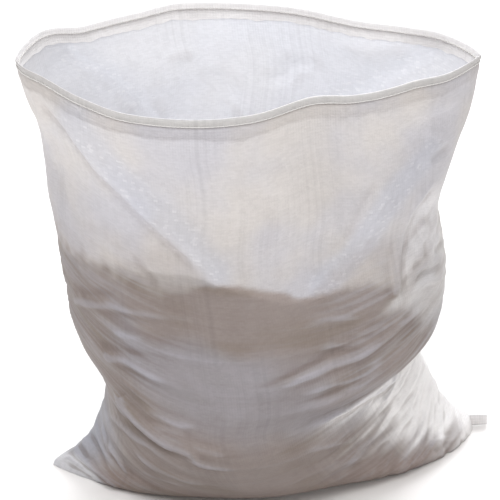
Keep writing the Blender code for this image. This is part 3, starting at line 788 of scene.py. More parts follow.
def flap_gap(cloth, share):
    """How far inside the outer layer the hem's inner layer lies, at some share of its depth."""
    loose = 0.5 + 0.5 * cloth.layer(FLAP_WAVES, np.zeros_like(cloth.around))[0]
    puff = HEM_PUFF * bell(share - FLAP_PUFF_AT, FLAP_PUFF_REACH)
    return FLAP_GAP + puff + FLAP_FREE * loose * ease(FLAP_FREE_FROM, 1.0, share)


def flap_rows(cloth):
    """The hem's inner layer: rows over the rim and down the inside to the raw edge."""
    rows, downs = [], []
    edge = hem_edge(cloth)[0]
    for share in np.linspace(0.0, 1.0, FLAP_ROWS + 1)[1:]:
        place, normal = below_rim(cloth, edge * share)
        rows.append(place - normal * flap_gap(cloth, share)[:, None])
        downs.append(-edge * share)
    return np.array(rows), np.array(downs)


def grid_mesh(name, place, uv_around, uv_down, closed=True):
    """A mesh of quads over a grid of points, with the cloth's own distances as its UV map."""
    rows, columns = place.shape[:2]
    index = np.arange(rows * columns).reshape(rows, columns)
    turned = np.roll(index, -1, axis=1)
    last = columns if closed else columns - 1
    quads = np.stack((index[:-1], turned[:-1], turned[1:], index[1:]), axis=-1)[:, :last]
    mesh = bpy.data.meshes.new(name)
    mesh.from_pydata(place.reshape(-1, 3).tolist(), [], quads.reshape(-1, 4).tolist())
    left = np.broadcast_to(uv_around, (rows, columns))
    right = np.roll(left, -1, axis=1).copy()
    right[:, -1] = left[:, -1] + (left[:, 1] - left[:, 0])
    down = np.broadcast_to(uv_down, (rows, columns))
    down_right = np.roll(down, -1, axis=1)
    corners = ((left[:-1], down[:-1]), (right[:-1], down_right[:-1]),
               (right[1:], down_right[1:]), (left[1:], down[1:]))
    uv = np.stack([np.stack(corner, axis=-1) for corner in corners], axis=2)[:, :last]
    layer = mesh.uv_layers.new(name="cloth")
    layer.uv.foreach_set("vector", uv.astype(np.float32).ravel())
    mesh.shade_smooth()
    return mesh


def add_values(mesh, name, values):
    """Stores one number for each point of a mesh."""
    layer = mesh.attributes.new(name, "FLOAT", "POINT")
    layer.data.foreach_set("value", np.asarray(values, dtype=np.float32).ravel())


def weld(mesh):
    """Joins points that share a place, where the base's rows meet at the seam and its ends."""
    bm = bmesh.new()
    bm.from_mesh(mesh)
    bmesh.ops.remove_doubles(bm, verts=bm.verts, dist=1e-5)
    bmesh.ops.dissolve_degenerate(bm, dist=1e-6, edges=bm.edges)
    bm.to_mesh(mesh)
    bm.free()


def add_object(name, data):
    """Puts a mesh, a lamp or a camera in the scene."""
    thing = bpy.data.objects.new(name, data)
    bpy.context.scene.collection.objects.link(thing)
    return thing


# Where the fill lies against the cloth. On the front its top line runs through pixels of the
# camera's picture, and on the back through (x, z) places. Above it the heap still shades the cloth.
FRONT_FILL_LINE = (
    (50, 222), (57, 231), (66, 247), (80, 260), (110, 267), (132, 278), (152, 288), (172, 291),
    (205, 286), (235, 287), (262, 290), (285, 294), (305, 298), (322, 294), (345, 287), (370, 284),
    (390, 285), (402, 298), (418, 320), (442, 334)
)
FRONT_SHADE_LINE = (
    (50, 205), (66, 225), (90, 243), (118, 250), (134, 244), (150, 236), (164, 237), (180, 252),
    (198, 270), (215, 284), (262, 290), (305, 298), (320, 286), (342, 262), (365, 248), (390, 242),
    (403, 262), (418, 300), (442, 318)
)
FRONT_LINE_BLUR = (
    (50, 12), (66, 13), (110, 14), (150, 14), (185, 8), (210, 4), (305, 3), (330, 6), (392, 7),
    (410, 14), (442, 16)
)
BACK_FILL_LINE = (
    (-0.2, 0.257), (-0.15, 0.275), (-0.08, 0.268), (-0.02, 0.284), (0.05, 0.266), (0.12, 0.272),
    (0.17, 0.245), (0.2, 0.222)
)
BACK_SHADE_RISE = 0.016
BACK_LINE_BLUR = 0.009
LINE_RAGGED = 0.45
LINE_UNEVEN = 0.5
SHADE_BLUR = 1.6
SHADE_SHARE = 0.28


def below_lines(cloth):
    """How surely each point lies below the fill's top line, and below its shade's line."""
    across, down = cloth.pixels()
    x, z = cloth.place[..., 0], cloth.place[..., 2]
    ragged, grained, uneven = map(cloth.layer, (FILL_RAGGED, FILL_GRAINED, FILL_UNEVEN))
    ragged, uneven = LINE_RAGGED * (ragged + grained), 1.0 + LINE_UNEVEN * uneven
    shares = []
    for front_line, rise, wide in ((FRONT_FILL_LINE, 0.0, 1.0),
                                   (FRONT_SHADE_LINE, BACK_SHADE_RISE, SHADE_BLUR)):
        front = down - profile(front_line, across)
        front = front / (uneven * wide * profile(FRONT_LINE_BLUR, across))
        back = (profile(BACK_FILL_LINE, x) + rise - z) / (uneven * wide * BACK_LINE_BLUR)
        front, back = (ease(-1.0, 1.0, value + ragged) for value in (front, back))
        shares.append(back + cloth.frontness * (front - back))
    return shares


# The edge of the loose pocket on the front's right, which no rubble lies behind, from its top down
# as (down, across) in pixels, how it fades at both ends, and the shade in its hollows
POCKET_EDGE = (
    (150, 468), (180, 438), (197, 425), (211, 415), (226, 407), (242, 403), (284, 401), (296, 398),
    (302, 388), (330, 372)
)
POCKET_TOP = (176, 200)
POCKET_END = (292, 330)
POCKET_BLUR = ((296, 1.6), (306, 12))
POCKET_STREAK = 16.0
POCKET_SHADE = 0.34
POCKET_SHADE_UNDER = (0.34, 0.29)
POCKET_HOLLOW_RISE = 0.8
POCKET_HOLLOW_EDGE = (-0.3, 0.6)


def pocket_share(cloth):
    """How surely each point lies in the front's loose pocket."""
    across, down = cloth.pixels()
    inside = ease(-1.0, 1.0, (across - profile(POCKET_EDGE, down)) / profile(POCKET_BLUR, down))
    end = down + POCKET_STREAK * cloth.layer(POCKET_STREAKS, cloth.flow)
    return cloth.frontness * inside * ease(*POCKET_TOP, down) * (1.0 - ease(*POCKET_END, end))


def below_edge(cloth, edge, blur):
    """How surely each point lies below a line through pixels of the camera's picture."""
    across, down = cloth.pixels()
    return ease(*blur, down - profile(edge, across))


# The empty ears: how far in from each tip no fill lies behind the cloth, by height, below 0 where
# the fill reaches the tip. The left ear takes painted bluish shade, the right one painted light.
# The bulge over the right one has its lower edge along some pixels.
LEFT_EAR_REACH = ((0, 0.008), (0.03, 0.012), (0.06, 0.014), (0.12, -0.045))
RIGHT_EAR_REACH = (
    (0, 0.03), (0.02, 0.034), (0.05, 0.06), (0.075, 0.076), (0.09, 0.068), (0.11, 0.052),
    (0.125, 0.02), (0.14, -0.036)
)
EAR_BLUR = 0.035
EAR_WAVE = 0.012
BULGE_EDGE = ((300, 432), (340, 411), (370, 391), (392, 373), (399, 364), (406, 354), (414, 342))
BULGE_EDGE_BLUR = (-2.5, 2.5)


def ear_shares(cloth):
    """How surely each point lies in the empty left ear, and in the empty right one."""
    x, z = cloth.place[..., 0], cloth.place[..., 2]
    from_left, from_right = x + profile(LEFT_REACH, z), profile(RIGHT_REACH, z) - x
    wave = EAR_WAVE * cloth.layer(EAR_STREAKS, cloth.flow)
    left = ease(-EAR_BLUR, EAR_BLUR, profile(LEFT_EAR_REACH, z) - from_left + wave)
    right = ease(-EAR_BLUR, EAR_BLUR, profile(RIGHT_EAR_REACH, z) - from_right + 2.0 * wave)
    over = cloth.frontness * (1.0 - below_edge(cloth, BULGE_EDGE, BULGE_EDGE_BLUR))
    return left, right * (1.0 - over)


# The facet at the left ear's tip, painted pale and bluish as light falling on it: its upper edge,
# in pixels of the camera's picture
LEFT_FACET_EDGE = ((50, 449), (62, 450), (76, 454), (88, 464), (100, 478), (112, 492))
LEFT_FACET_BLUR = (-3.0, 4.0)
LEFT_FACET_END = (118, 92)


def left_facet(cloth):
    """How surely each point lies on the facet at the left ear's tip, painted pale as lit."""
    facet = below_edge(cloth, LEFT_FACET_EDGE, LEFT_FACET_BLUR)
    return cloth.frontness * facet * ease(*LEFT_FACET_END, cloth.pixels()[0])


# The band of painted light right under the bulge over the right ear, where a ridge catches the
# light, in pixels of the camera's picture
UNDER_BULGE = ((300, 436), (340, 416), (370, 397), (396, 377))
UNDER_BULGE_ABOVE = 3.5
UNDER_BULGE_BELOW = 12.0
UNDER_BULGE_START = (300, 345)
UNDER_BULGE_END = (390, 404)


def painted_light_band(cloth):
    """How surely each point lies on the painted light band under the bulge over the right ear."""
    across, down = cloth.pixels()
    off = down - profile(UNDER_BULGE, across)
    band = bell(off, np.where(off < 0.0, UNDER_BULGE_ABOVE, UNDER_BULGE_BELOW))
    return cloth.frontness * band * within(UNDER_BULGE_START, UNDER_BULGE_END, across)


def fill_behind(cloth):
    """1 where the fill lies against the cloth, 0 where the cloth stands free."""
    deep, shade = below_lines(cloth)
    filled = (1.0 - SHADE_SHARE) * deep + SHADE_SHARE * shade
    rising = cloth.down + POCKET_HOLLOW_RISE * cloth.place[..., 0]
    hollow = ease(*POCKET_HOLLOW_EDGE, cloth.layer(POCKET_HOLLOWS, rising))
    hollow = POCKET_SHADE * hollow * ease(*POCKET_SHADE_UNDER, cloth.level)
    filled = filled + pocket_share(cloth) * (hollow - filled)
    left, right = ear_shares(cloth)
    pale = np.maximum(painted_light_band(cloth), left_facet(cloth))
    return filled * (1.0 - left) * (1.0 - right) * (1.0 - pale)


# The belly, painted paler and bluer as a reflection of the sky: between two wrinkle lines, and
# between two sides
BELLY_LOW = (0.095, 0.140)
BELLY_HIGH = (0.178, 0.210)
BELLY_TILT = 0.28
BELLY_LEFT = (-0.165, -0.095)
BELLY_RIGHT = (0.065, 0.140)
BELLY_PATCH = 0.030
BAND_SKY = 0.7


def sky_share(cloth):
    """Painted sky: reflection on the belly, bluish shade on the left ear, and the pale places."""
    x = cloth.place[..., 0]
    patch = BELLY_PATCH * cloth.layer(BELLY_PATCHES)
    belly = within(BELLY_LOW, BELLY_HIGH, cloth.flow + BELLY_TILT * x + patch)
    belly = belly * within(BELLY_LEFT, BELLY_RIGHT, x + patch)
    pale = np.maximum(BAND_SKY * painted_light_band(cloth), left_facet(cloth))
    return np.maximum(np.clip(belly + ear_shares(cloth)[0], 0.0, 1.0), pale)


RELIEF_REACH = 4
RELIEF_DEPTH = 0.0010
FOLD_DEPTH = 0.0050
# Shares of near-white painted light on the loose pocket and on the left tip's facet
POCKET_LIGHT = 0.5
FACET_LIGHT = 0.60


def blurred(values, reach):
    """Each point's average with the points up to reach rows and columns away."""
    wide = sum(np.roll(values, step, axis=1) for step in range(-reach, reach + 1))
    padded = np.pad(wide, ((reach, reach), (0, 0)), mode="edge")
    rows, width = len(values), 2 * reach + 1
    return sum(padded[step:step + rows] for step in range(width)) / width ** 2


def cloth_values(cloth, relief, broad):
    """What the cloth's material reads at each point, by name."""
    x, z = cloth.place[..., 0], cloth.place[..., 2]
    fold = fold_height(x, z, BACK_FOLDS)
    fold = fold + cloth.frontness * (fold_height(x, z, FRONT_FOLDS) - fold)
    # Painted light shares: the right ear, the pocket, the band under the bulge and the left tip's
    # facet
    bright = (ear_shares(cloth)[1], POCKET_LIGHT * pocket_share(cloth), painted_light_band(cloth),
              FACET_LIGHT * left_facet(cloth))
    # fold drives painted sheen; raised drives painted shade in hollows and highlights on ridges
    return {"fill_behind": fill_behind(cloth), "height": z, "flow": cloth.flow,
            "raised": (relief - blurred(relief, RELIEF_REACH)) / RELIEF_DEPTH,
            "sky": sky_share(cloth), "painted_light": np.max(bright, axis=0),
            "fold": (fold + broad) / FOLD_DEPTH, "tense": side_share(cloth)}


def make_cloth(cloth):
    """The sack's cloth, in one sheet from the bottom seam to the hem's raw edge."""
    relief = crease_heights(cloth) + tension_wrinkles(cloth) + fan_folds(cloth) + crumple(cloth)
    broad = broad_waves(cloth)
    cloth.push(broad + relief)
    cloth.measure()
    cloth.push(hem_relief(cloth))
    flap, flap_down = flap_rows(cloth)
    mesh = grid_mesh("sack_cloth", np.concatenate((cloth.place, flap)), cloth.around,
                     np.concatenate((cloth.down, flap_down)))
    for name, values in cloth_values(cloth, relief, broad).items():
        add_values(mesh, name, np.concatenate((values, np.zeros_like(flap_down))))
    back = np.broadcast_to(ease(0.0, INSIDE_BLEND, cloth.past_side), cloth.down.shape)
    add_values(mesh, "back", np.concatenate((back, back[:len(flap_down)])))
    weld(mesh)
    return add_object("sack_cloth", mesh)


# Sewing: both rows of thread lie on the cloth and dip into it at each stitch
STITCH_LENGTH = 0.0046
THREAD_RADIUS = 0.00055
THREAD_RISE = 0.0006
THREAD_SIDES = 6
STEPS_PER_STITCH = 6
SEAM_THREAD_HEIGHT = 0.0011
SEAM_THREAD_RISE = 0.0003


def tube_grid(path, side, closed):
    """Rings of points round a path: [turn, place along it]. The last turn meets the first."""
    if closed:
        along = unit(np.roll(path, -1, axis=0) - np.roll(path, 1, axis=0))
    else:
        along = unit(np.gradient(path, axis=0))
    out = unit(side - along * np.sum(side * along, axis=1, keepdims=True))
    turns = np.linspace(0.0, 2.0 * math.pi, THREAD_SIDES + 1)[:, None, None]
    return path + THREAD_RADIUS * (out * np.cos(turns) + np.cross(along, out) * np.sin(turns))


def thread_row(name, places, ways, count, low, rise, closed):
    """A thread along some places that rises and dips once a stitch, along their ways out."""
    if closed:
        places, ways = (np.vstack((values, values[:1])) for values in (places, ways))
    length = lengths_along(places)
    stitches = np.arange(count * STEPS_PER_STITCH) / STEPS_PER_STITCH
    at = np.linspace(0.0, length[-1], len(stitches), endpoint=not closed)
    path, way = (read_line(at, length, values) for values in (places, ways))
    lift = low + rise * (2.0 * np.abs(np.sin(math.pi * stitches)) - 1.0)
    turned = np.arange(THREAD_SIDES + 1)[:, None] * THREAD_RADIUS
    mesh = grid_mesh(name, tube_grid(path + way * lift[:, None], way, closed),
                     stitches * STITCH_LENGTH, turned, closed)
    weld(mesh)
    return mesh


def join_meshes(name, meshes):
    """One mesh in place of several."""
    bm = bmesh.new()
    for mesh in meshes:
        bm.from_mesh(mesh)
        bpy.data.meshes.remove(mesh)
    whole = bpy.data.meshes.new(name)
    bm.to_mesh(whole)
    bm.free()
    return whole


def make_hem_thread(cloth):
    """The hem's stitching, a row of thread on the outside and one on the inside."""
    places, ways = below_rim(cloth, HEM_STITCH_DROP)
    count = round(GIRTH / STITCH_LENGTH)
    inner = places - ways * flap_gap(cloth, HEM_STITCH_DROP / HEM_DEPTH)[:, None]
    rows = [thread_row("thread_row", *row, count, THREAD_RISE, THREAD_RISE, True)
            for row in ((places, ways), (inner, -ways))]
    return add_object("hem_stitching", join_meshes("hem_stitching", rows))


def make_seam_thread(cloth):
    """The bottom seam's stitching, in the groove under the base."""
    seam = cloth.place[0, 2:COLUMNS - 1].copy()
    seam[:, 2] = SEAM_THREAD_HEIGHT
    ways = np.tile((0.0, 0.0, -1.0), (len(seam), 1))
    count = round(lengths_along(seam)[-1] / STITCH_LENGTH)
    row = thread_row("seam_stitching", seam, ways, count, 0.0, SEAM_THREAD_RISE, False)
    return add_object("seam_stitching", row)


# The end of the base's hem, a folded strip that stands out past the right ear. Its section is
# rounded at the fold, and it twists, tapers and droops towards its far end.
TAB_ROOT = 0.0030
TAB_LAYER = 0.0007
TAB_ACROSS = 14
TAB_ALONG = 18
TAB_WIDEN, TAB_ROUND = 2.2, 0.6
TAB_FOLD = 1.3
TAB_TWIST = 0.12
TAB_FLARE, TAB_TAPER = 1.12, 0.14
TAB_DROOP = 0.0012
TAB_PATTERN_FROM = 0.1
TAB_PATTERN_STEPS = (0.0016, 0.0011)
# How much near-white painted light the tab takes
TAB_LIGHT = 0.75


def tab_loop(middle):
    """The strip's section as one loop of (out, high) points, down one side and up the other."""
    turn = np.linspace(-1.0, 1.0, TAB_ACROSS)
    rows = []
    for layer in (0.5 * TAB_THICKNESS, 0.5 * TAB_THICKNESS - TAB_LAYER):
        out = layer * np.sign(turn) * np.minimum(1.0, TAB_WIDEN * np.abs(turn)) ** TAB_ROUND
        high = TAB_HIGH - (TAB_HIGH - TAB_LOW) * np.abs(turn) ** TAB_FOLD
        high = high - (0.5 * TAB_THICKNESS - layer) * (1.0 - np.abs(turn))
        rows.append(np.stack((out, high - middle), axis=1))
    return np.concatenate((rows[0], rows[1][::-1], rows[0][:1]))


def make_tab(left_tip, right_tip):
    """A strip folded over at its top, open at the bottom and at its far end."""
    along = unit((right_tip - left_tip) * (1.0, 1.0, 0.0))
    side, up = np.array((-along[1], along[0], 0.0)), np.array((0.0, 0.0, 1.0))
    start, middle = right_tip - along * TAB_ROOT, 0.5 * (TAB_LOW + TAB_HIGH)
    loop, grid = tab_loop(middle), []
    for share in np.linspace(0.0, 1.0, TAB_ALONG):
        twist = TAB_TWIST * share ** 2
        out = loop[:, 0] * math.cos(twist) - loop[:, 1] * math.sin(twist)
        high = loop[:, 0] * math.sin(twist) + loop[:, 1] * math.cos(twist)
        high = high * (TAB_FLARE - TAB_TAPER * share) + middle - TAB_DROOP * share ** 2
        reach = along * (TAB_ROOT + TAB_LENGTH) * share
        grid.append(start + reach + out[:, None] * side + high[:, None] * up)
    step_across, step_along = TAB_PATTERN_STEPS
    mesh = grid_mesh("hem_tab", np.array(grid), np.arange(len(loop)) * step_across,
                     TAB_PATTERN_FROM + np.arange(TAB_ALONG)[:, None] * step_along, closed=False)
    for name, value in (("fill_behind", 0.0), ("raised", 0.0), ("height", middle),
                        ("painted_light", TAB_LIGHT)):
        add_values(mesh, name, np.full(len(mesh.vertices), value))
    weld(mesh)
    return add_object("hem_tab", mesh)


# The rubble: a heap inside the cloth, with stones half sunk in its top
FILL_INSET = 0.0028
FILL_COLUMN_STEP = 2
FILL_ROWS = 40
FILL_TOP_ROWS = 44
FILL_BOTTOM_ROWS = 7
FILL_PATTERN_STEPS = (0.0055, 0.005)
HEAP_LUMPS = (0.003, 0.05, 50.0, 61)
HEAP_GRIT = (0.0022, 0.009, 90.0, 62)
HEAP_ROUGHENS = 4.0
STONE_SIZES = ((420, 0.005, 0.009), (1000, 0.0028, 0.005))
STONE_CLEARANCE = 0.004
STONE_CROWDING = 0.62
STONE_SINK = 0.30
STONE_TRIES = 12
STONE_CUTS = 9
STONE_CUT_DEPTH = (0.45, 0.8)
STONE_STRETCH = (0.6, 1.1)
STONE_SEED = 7
LOOSE_LEVEL, NAMED_LEVEL = 2, 3


def fill_rings(cloth):
    """Rings of the rubble's side, just inside the cloth, from the base to its top edge."""
    columns = np.arange(0, 2 * COLUMNS, FILL_COLUMN_STEP)
    place = (cloth.place - FILL_INSET * cloth.normal)[BASE_ROWS:]
    rings = np.empty((FILL_ROWS, len(columns), 3))
    for at, column in enumerate(columns):
        line = place[:, column]
        edge = FILL_FRONT_EDGE if column <= COLUMNS else FILL_BACK_EDGE
        heights = np.linspace(FILL_BOTTOM, profile(edge, line[WALL_ROWS // 2, 0]), FILL_ROWS)
        rings[:, at] = read_line(heights, np.maximum.accumulate(line[:, 2]), line)
        rings[:, at, 2] = heights
    return rings


def heap_rows(edge):
    """Rows of the rubble's top, from its edge in to the middle."""
    middle, rows = edge.mean(axis=0), []
    for share in np.linspace(0.0, 1.0, FILL_TOP_ROWS + 1)[1:]:
        row = edge + (middle - edge) * share
        row[:, 2] += FILL_HEAP * math.sin(0.5 * math.pi * share)
        x, y = row[:, 0], row[:, 1]
        for height, size, shift, seed in (HEAP_LUMPS, HEAP_GRIT):
            rough = height * noise(x / size + shift, y / size + shift, seed)
            row[:, 2] += rough * min(1.0, HEAP_ROUGHENS * share)
        rows.append(row)
    return np.array(rows)


def stone_shape(level):
    """A small round mesh to cut stones from: its points and faces."""
    bm = bmesh.new()
    bmesh.ops.create_icosphere(bm, subdivisions=level, radius=1.0)
    bm.verts.ensure_lookup_table()
    points = np.array([vert.co[:] for vert in bm.verts])
    faces = np.array([[vert.index for vert in face.verts] for face in bm.faces])
    bm.free()
    return points, faces


def chipped(points, random):
    """One stone: a ball cut by random planes, stretched and turned."""
    stone = points.copy()
    for _ in range(STONE_CUTS):
        way = unit(random.normal(size=3))
        past = stone @ way - random.uniform(*STONE_CUT_DEPTH)
        stone -= np.outer(np.maximum(0.0, past), way)
    stone *= random.uniform(*STONE_STRETCH, size=3)
    turn, _ = np.linalg.qr(random.normal(size=(3, 3)))
    return stone @ turn


def inside_ring(spot, ring):
    """Whether a point lies inside a closed ring, seen from above."""
    x, y = ring[:, 0] - spot[0], ring[:, 1] - spot[1]
    turns = np.diff(np.unwrap(np.arctan2(np.append(y, y[0]), np.append(x, x[0]))))
    return abs(turns.sum()) > math.pi


def stone_places(heap, edge, random):
    """Where the stones lie on the heap, the named ones first: (x, y, height, radius, level)."""
    surface = heap.reshape(-1, 3)
    low, high = surface[:, :2].min(axis=0), surface[:, :2].max(axis=0)

    def away(points, spot):
        return np.hypot(*(points[:, :2] - spot).T)

    placed = []
    for x, y, radius in STONES:
        height = surface[np.argmin(away(surface, (x, y))), 2] + STONE_SINK * radius
        placed.append((x, y, height, radius, NAMED_LEVEL))
    for count, smallest, largest in STONE_SIZES:
        full, tries = len(placed) + count, STONE_TRIES * count
        while len(placed) < full and tries:
            tries -= 1
            radius, spot = random.uniform(smallest, largest), random.uniform(low, high)
            others = np.array(placed)
            room = away(others, spot) - STONE_CROWDING * (radius + others[:, 3])
            to_edge = away(edge, spot).min() - radius - STONE_CLEARANCE
            if room.min() < 0.0 or to_edge < 0.0 or not inside_ring(spot, edge):
                continue
            height = surface[np.argmin(away(surface, spot)), 2]
            height += radius * random.uniform(0.0, STONE_SINK)
            placed.append((*spot, height, radius, LOOSE_LEVEL))
    return placed


def make_stones(heap, edge):
    """All the stones on the heap as one mesh, with a tone for each stone."""
    random = np.random.default_rng(STONE_SEED)
    shapes = {level: stone_shape(level) for level in (LOOSE_LEVEL, NAMED_LEVEL)}
    points, faces, tones, first = [], [], [], 0
    for x, y, height, radius, level in stone_places(heap, edge, random):
        ball, ball_faces = shapes[level]
        points.append(chipped(ball, random) * radius + (x, y, height))
        faces.append(ball_faces + first)
        tones.append(np.full(len(ball), random.uniform()))
        first += len(ball)
    stones = bpy.data.meshes.new("stones")
    stones.from_pydata(np.concatenate(points).tolist(), [], np.concatenate(faces).tolist())
    add_values(stones, "tone", np.concatenate(tones))
    add_values(stones, "stone", np.ones(first))
    stones.shade_flat()
    return stones


def make_fill(cloth):
    """The rubble that fills the sack: its sides follow the cloth, and its top is a rough heap."""
    side = fill_rings(cloth)
    heap = heap_rows(side[-1])
    inward = np.linspace(1.0, 0.0, FILL_BOTTOM_ROWS + 1)[:-1, None, None]
    bottom = side[0] + (side[0].mean(axis=0) - side[0]) * inward
    grid = np.concatenate((bottom, side, heap))
    step_around, step_along = FILL_PATTERN_STEPS
    body = grid_mesh("rubble_body", grid, np.arange(grid.shape[1]) * step_around,
                     np.arange(len(grid))[:, None] * step_along)
    add_values(body, "tone", np.full(len(body.vertices), 0.5))
    add_values(body, "stone", np.zeros(len(body.vertices)))
    weld(body)
    stones = make_stones(np.concatenate((side[-1:], heap)), side[-1])
    return add_object("rubble", join_meshes("rubble", (body, stones)))


def srgb(red, green, blue):
    """A colour given in the 0 to 255 of a screen, as the linear values that a shader takes."""
    values = []
    for part in (red, green, blue):
        part = part / 255.0
        values.append(part / 12.92 if part <= 0.04045 else ((part + 0.055) / 1.055) ** 2.4)
    return (*values, 1.0)


class Value:
    """What a shader's node gives out. Sums and products of values are more nodes."""

    def __init__(self, shader, socket):
        self.shader, self.socket = shader, socket

    def __add__(self, other):
        return self.shader.math("ADD", self, other)

    def __sub__(self, other):
        return self.shader.math("SUBTRACT", self, other)

    def __rsub__(self, other):
        return self.shader.math("SUBTRACT", other, self)

    def __mul__(self, other):
        return self.shader.math("MULTIPLY", self, other)

    def __truediv__(self, other):
        return self.shader.math("DIVIDE", self, other)

    __radd__, __rmul__ = __add__, __mul__


class Shader:
    """A material under construction. Most methods add a node and give back its value."""

    def __init__(self, name):
        self.material = bpy.data.materials.new(name)
        self.material.use_nodes = True
        self.tree = self.material.node_tree

    def join(self, value, socket):
        """Links a value to a socket, or sets the socket to a plain number or colour."""
        if isinstance(value, Value):
            self.tree.links.new(value.socket, socket)
        else:
            socket.default_value = value

    def node(self, kind, inputs=(), output=0, **settings):
        added = self.tree.nodes.new(kind)
        for name, setting in settings.items():
            setattr(added, name, setting)
        for name, value in dict(inputs).items():
            self.join(value, added.inputs[name])
        return Value(self, added.outputs[output])

    def math(self, operation, *values):
        return self.node("ShaderNodeMath", enumerate(values), operation=operation)

    def mix(self, factor, first, second, blend="MIX"):
        return self.node("ShaderNodeMix", {0: factor, 6: first, 7: second}, 2, data_type="RGBA",
                         blend_type=blend)

    def between(self, value, low, high, out_low=0.0, out_high=1.0):
        inputs = {"Value": value, "From Min": low, "From Max": high, "To Min": out_low,
                  "To Max": out_high}
        return self.node("ShaderNodeMapRange", inputs, interpolation_type="SMOOTHSTEP")

    def vector(self, x, y):
        return self.node("ShaderNodeCombineXYZ", {0: x, 1: y})

    def noise(self, vector, scale, detail):
        inputs = {"Vector": vector, "Scale": scale, "Detail": detail}
        return self.node("ShaderNodeTexNoise", inputs)

    def bump(self, height, strength, distance):
        inputs = {"Height": height, "Strength": strength, "Distance": distance}
        return self.node("ShaderNodeBump", inputs)

    def attribute(self, name):
        return self.node("ShaderNodeAttribute", output=2, attribute_name=name)

    def surface(self, **inputs):
        """Sets inputs of the material's surface, and gives back its value."""
        surface = self.tree.nodes["Principled BSDF"]
        for name, value in inputs.items():
            self.join(value, surface.inputs[name.replace("_", " ")])
        return Value(self, surface.outputs[0])


CLOTH_CREAM = srgb(211, 206, 202)
CLOTH_LILAC = srgb(201, 199, 203)
# Painted sheen: a bluer tone on the fold ridges, standing in for reflected sky light
CLOTH_SHEEN = srgb(199, 201, 210)
# Painted light: the back half, inside and out, paler and bluer as if lit through from behind
CLOTH_BACK_LIT = srgb(224, 226, 232)
CLOTH_SHADE = srgb(184, 190, 205)
# Over the fill: its brown seen through the cloth, and painted shade where no light comes through
CLOTH_FILLED = srgb(170, 158, 153)
CLOTH_OLIVE = srgb(146, 131, 112)
# Painted shade and painted brown ground reflection, darker towards the bottom
CLOTH_FOOT_SHADE = srgb(166, 148, 140)
# Painted shade in small hollows, dark wrinkle streaks and under the stitching; also dust's tone
CLOTH_DUST_AND_SHADE = srgb(134, 119, 112)
# Painted highlight on small ridges and along pale wrinkle streaks
CLOTH_RIDGE_HIGHLIGHT = srgb(198, 196, 204)
# Painted reflection of the pale sky on the belly
CLOTH_SKY_REFLECTION = srgb(184, 183, 192)
# Painted light: near white where the cloth looks most lit or glows with light through it
CLOTH_PAINTED_LIGHT = srgb(252, 250, 249)
HEM_BAND = srgb(206, 204, 202)
THREAD_WHITE = srgb(211, 209, 206)
GRIT_DARK = srgb(104, 92, 82)
GRIT_LIGHT = srgb(160, 148, 136)
BRICK = srgb(150, 92, 70)
PLASTER = srgb(198, 192, 182)
FLOOR_PALE = srgb(236, 234, 232)

# The cloth's noises, by scale and detail, or drawn out by their scales around it and down it
TINT_PATCHES, DUST_PATCHES = (7.0, 3.0), (18.0, 4.0)
OLIVE_STREAKS = (11.0, 34.0)
WIDE_STREAKS, NARROW_STREAKS = (6.0, 60.0), (11.0, 210.0)
THREAD_GROUPS, FINE_THREADS, RARE_THREADS = (15.0, 6.0), (230.0, 1.4), (95.0, 1.0)
TAPE_GRAIN = (150.0, 330.0)

# Soft ramps that the cloth's colours are mixed by: from (low, high) to (low, high)
TINT_RAMP = (0.40, 0.60)
SHEEN_RAMP = (0.0, 1.1, 0.0, 0.55)
SHADE_RAMP = (0.0, 1.0, 0.0, 0.75)
FOOT_RAMP = (0.0, 0.065, 1.0, 0.0)
OLIVE_RAMP = (0.50, 0.66, 0.0, 0.36)
STREAK_RAMP = (0.30, 0.70, -1.0, 1.0)
TENSE_RAMP = (0.0, 1.0, 0.40, 1.15)
PALE_STREAK_RAMP, DARK_STREAK_RAMP = (0.0, 0.36, 0.0, 0.36), (-0.36, 0.0, 0.36, 0.0)
DUST_RAMP = (0.42, 0.75, 0.0, 0.22)
HOLLOW_RAMP, RIDGE_RAMP = (-1.3, 0.0, 1.0, 0.0), (0.0, 1.3)
BACK_RIM_RAMP, FRONT_RIM_RAMP = (0.0004, 0.0012, 0.80, 0.0), (0.0002, 0.0008, 0.80, 0.0)
OUTSIDE_RAMP = (0.0004, 0.0010)
STITCH_SHADE_RAMP = (0.0003, 0.0014, 0.14, 0.0)
GLINT_RAMP, SPECK_RAMP = (0.85, 1.0, 0.0, 0.28), (0.0, 1.0, 0.955, 1.01)
GROUP_RAMP = (0.45, 0.60)
FINE_RAMP, RARE_RAMP = (0.30, 0.60, 0.065, 0.0), (0.60, 0.72, 0.0, 0.045)
DULL_BACK_RAMP, DULL_EAR_RAMP = (-0.0006, -0.0001, 0.32, 0.0), (0.5, 1.0, 0.0, 0.20)

BACK_LIT_SHARE = 0.75
SKY_SHARE = 0.60
STREAK_SHARES = (0.20, 0.16)
BAND_BLUR = 0.0004
STITCH_SHADE_BELOW = 0.0012
# Painted shade in the gaps between tapes, deeper where painted light is
GAP_SHADE, EAR_GAP_SHADE = 0.975, -0.06
TAPE_EDGE = 0.3
SPECK_HIGH, SPECK_WIDE, SPECK_SHIFT = 0.75, 1.5, 0.37
# How dark the painted shade in small hollows and how pale the painted highlight on small ridges
# are: over the fill, in the painted sky share, in the painted light share and anywhere
HOLLOW_DEPTHS, RIDGE_LIGHTS = (0.34, 0.24, 0.14, 0.12), (0.42, 0.36, 0.0, 0.04)
GRAIN_HEIGHT = 1.2
CLOTH_THROUGH = 0.38


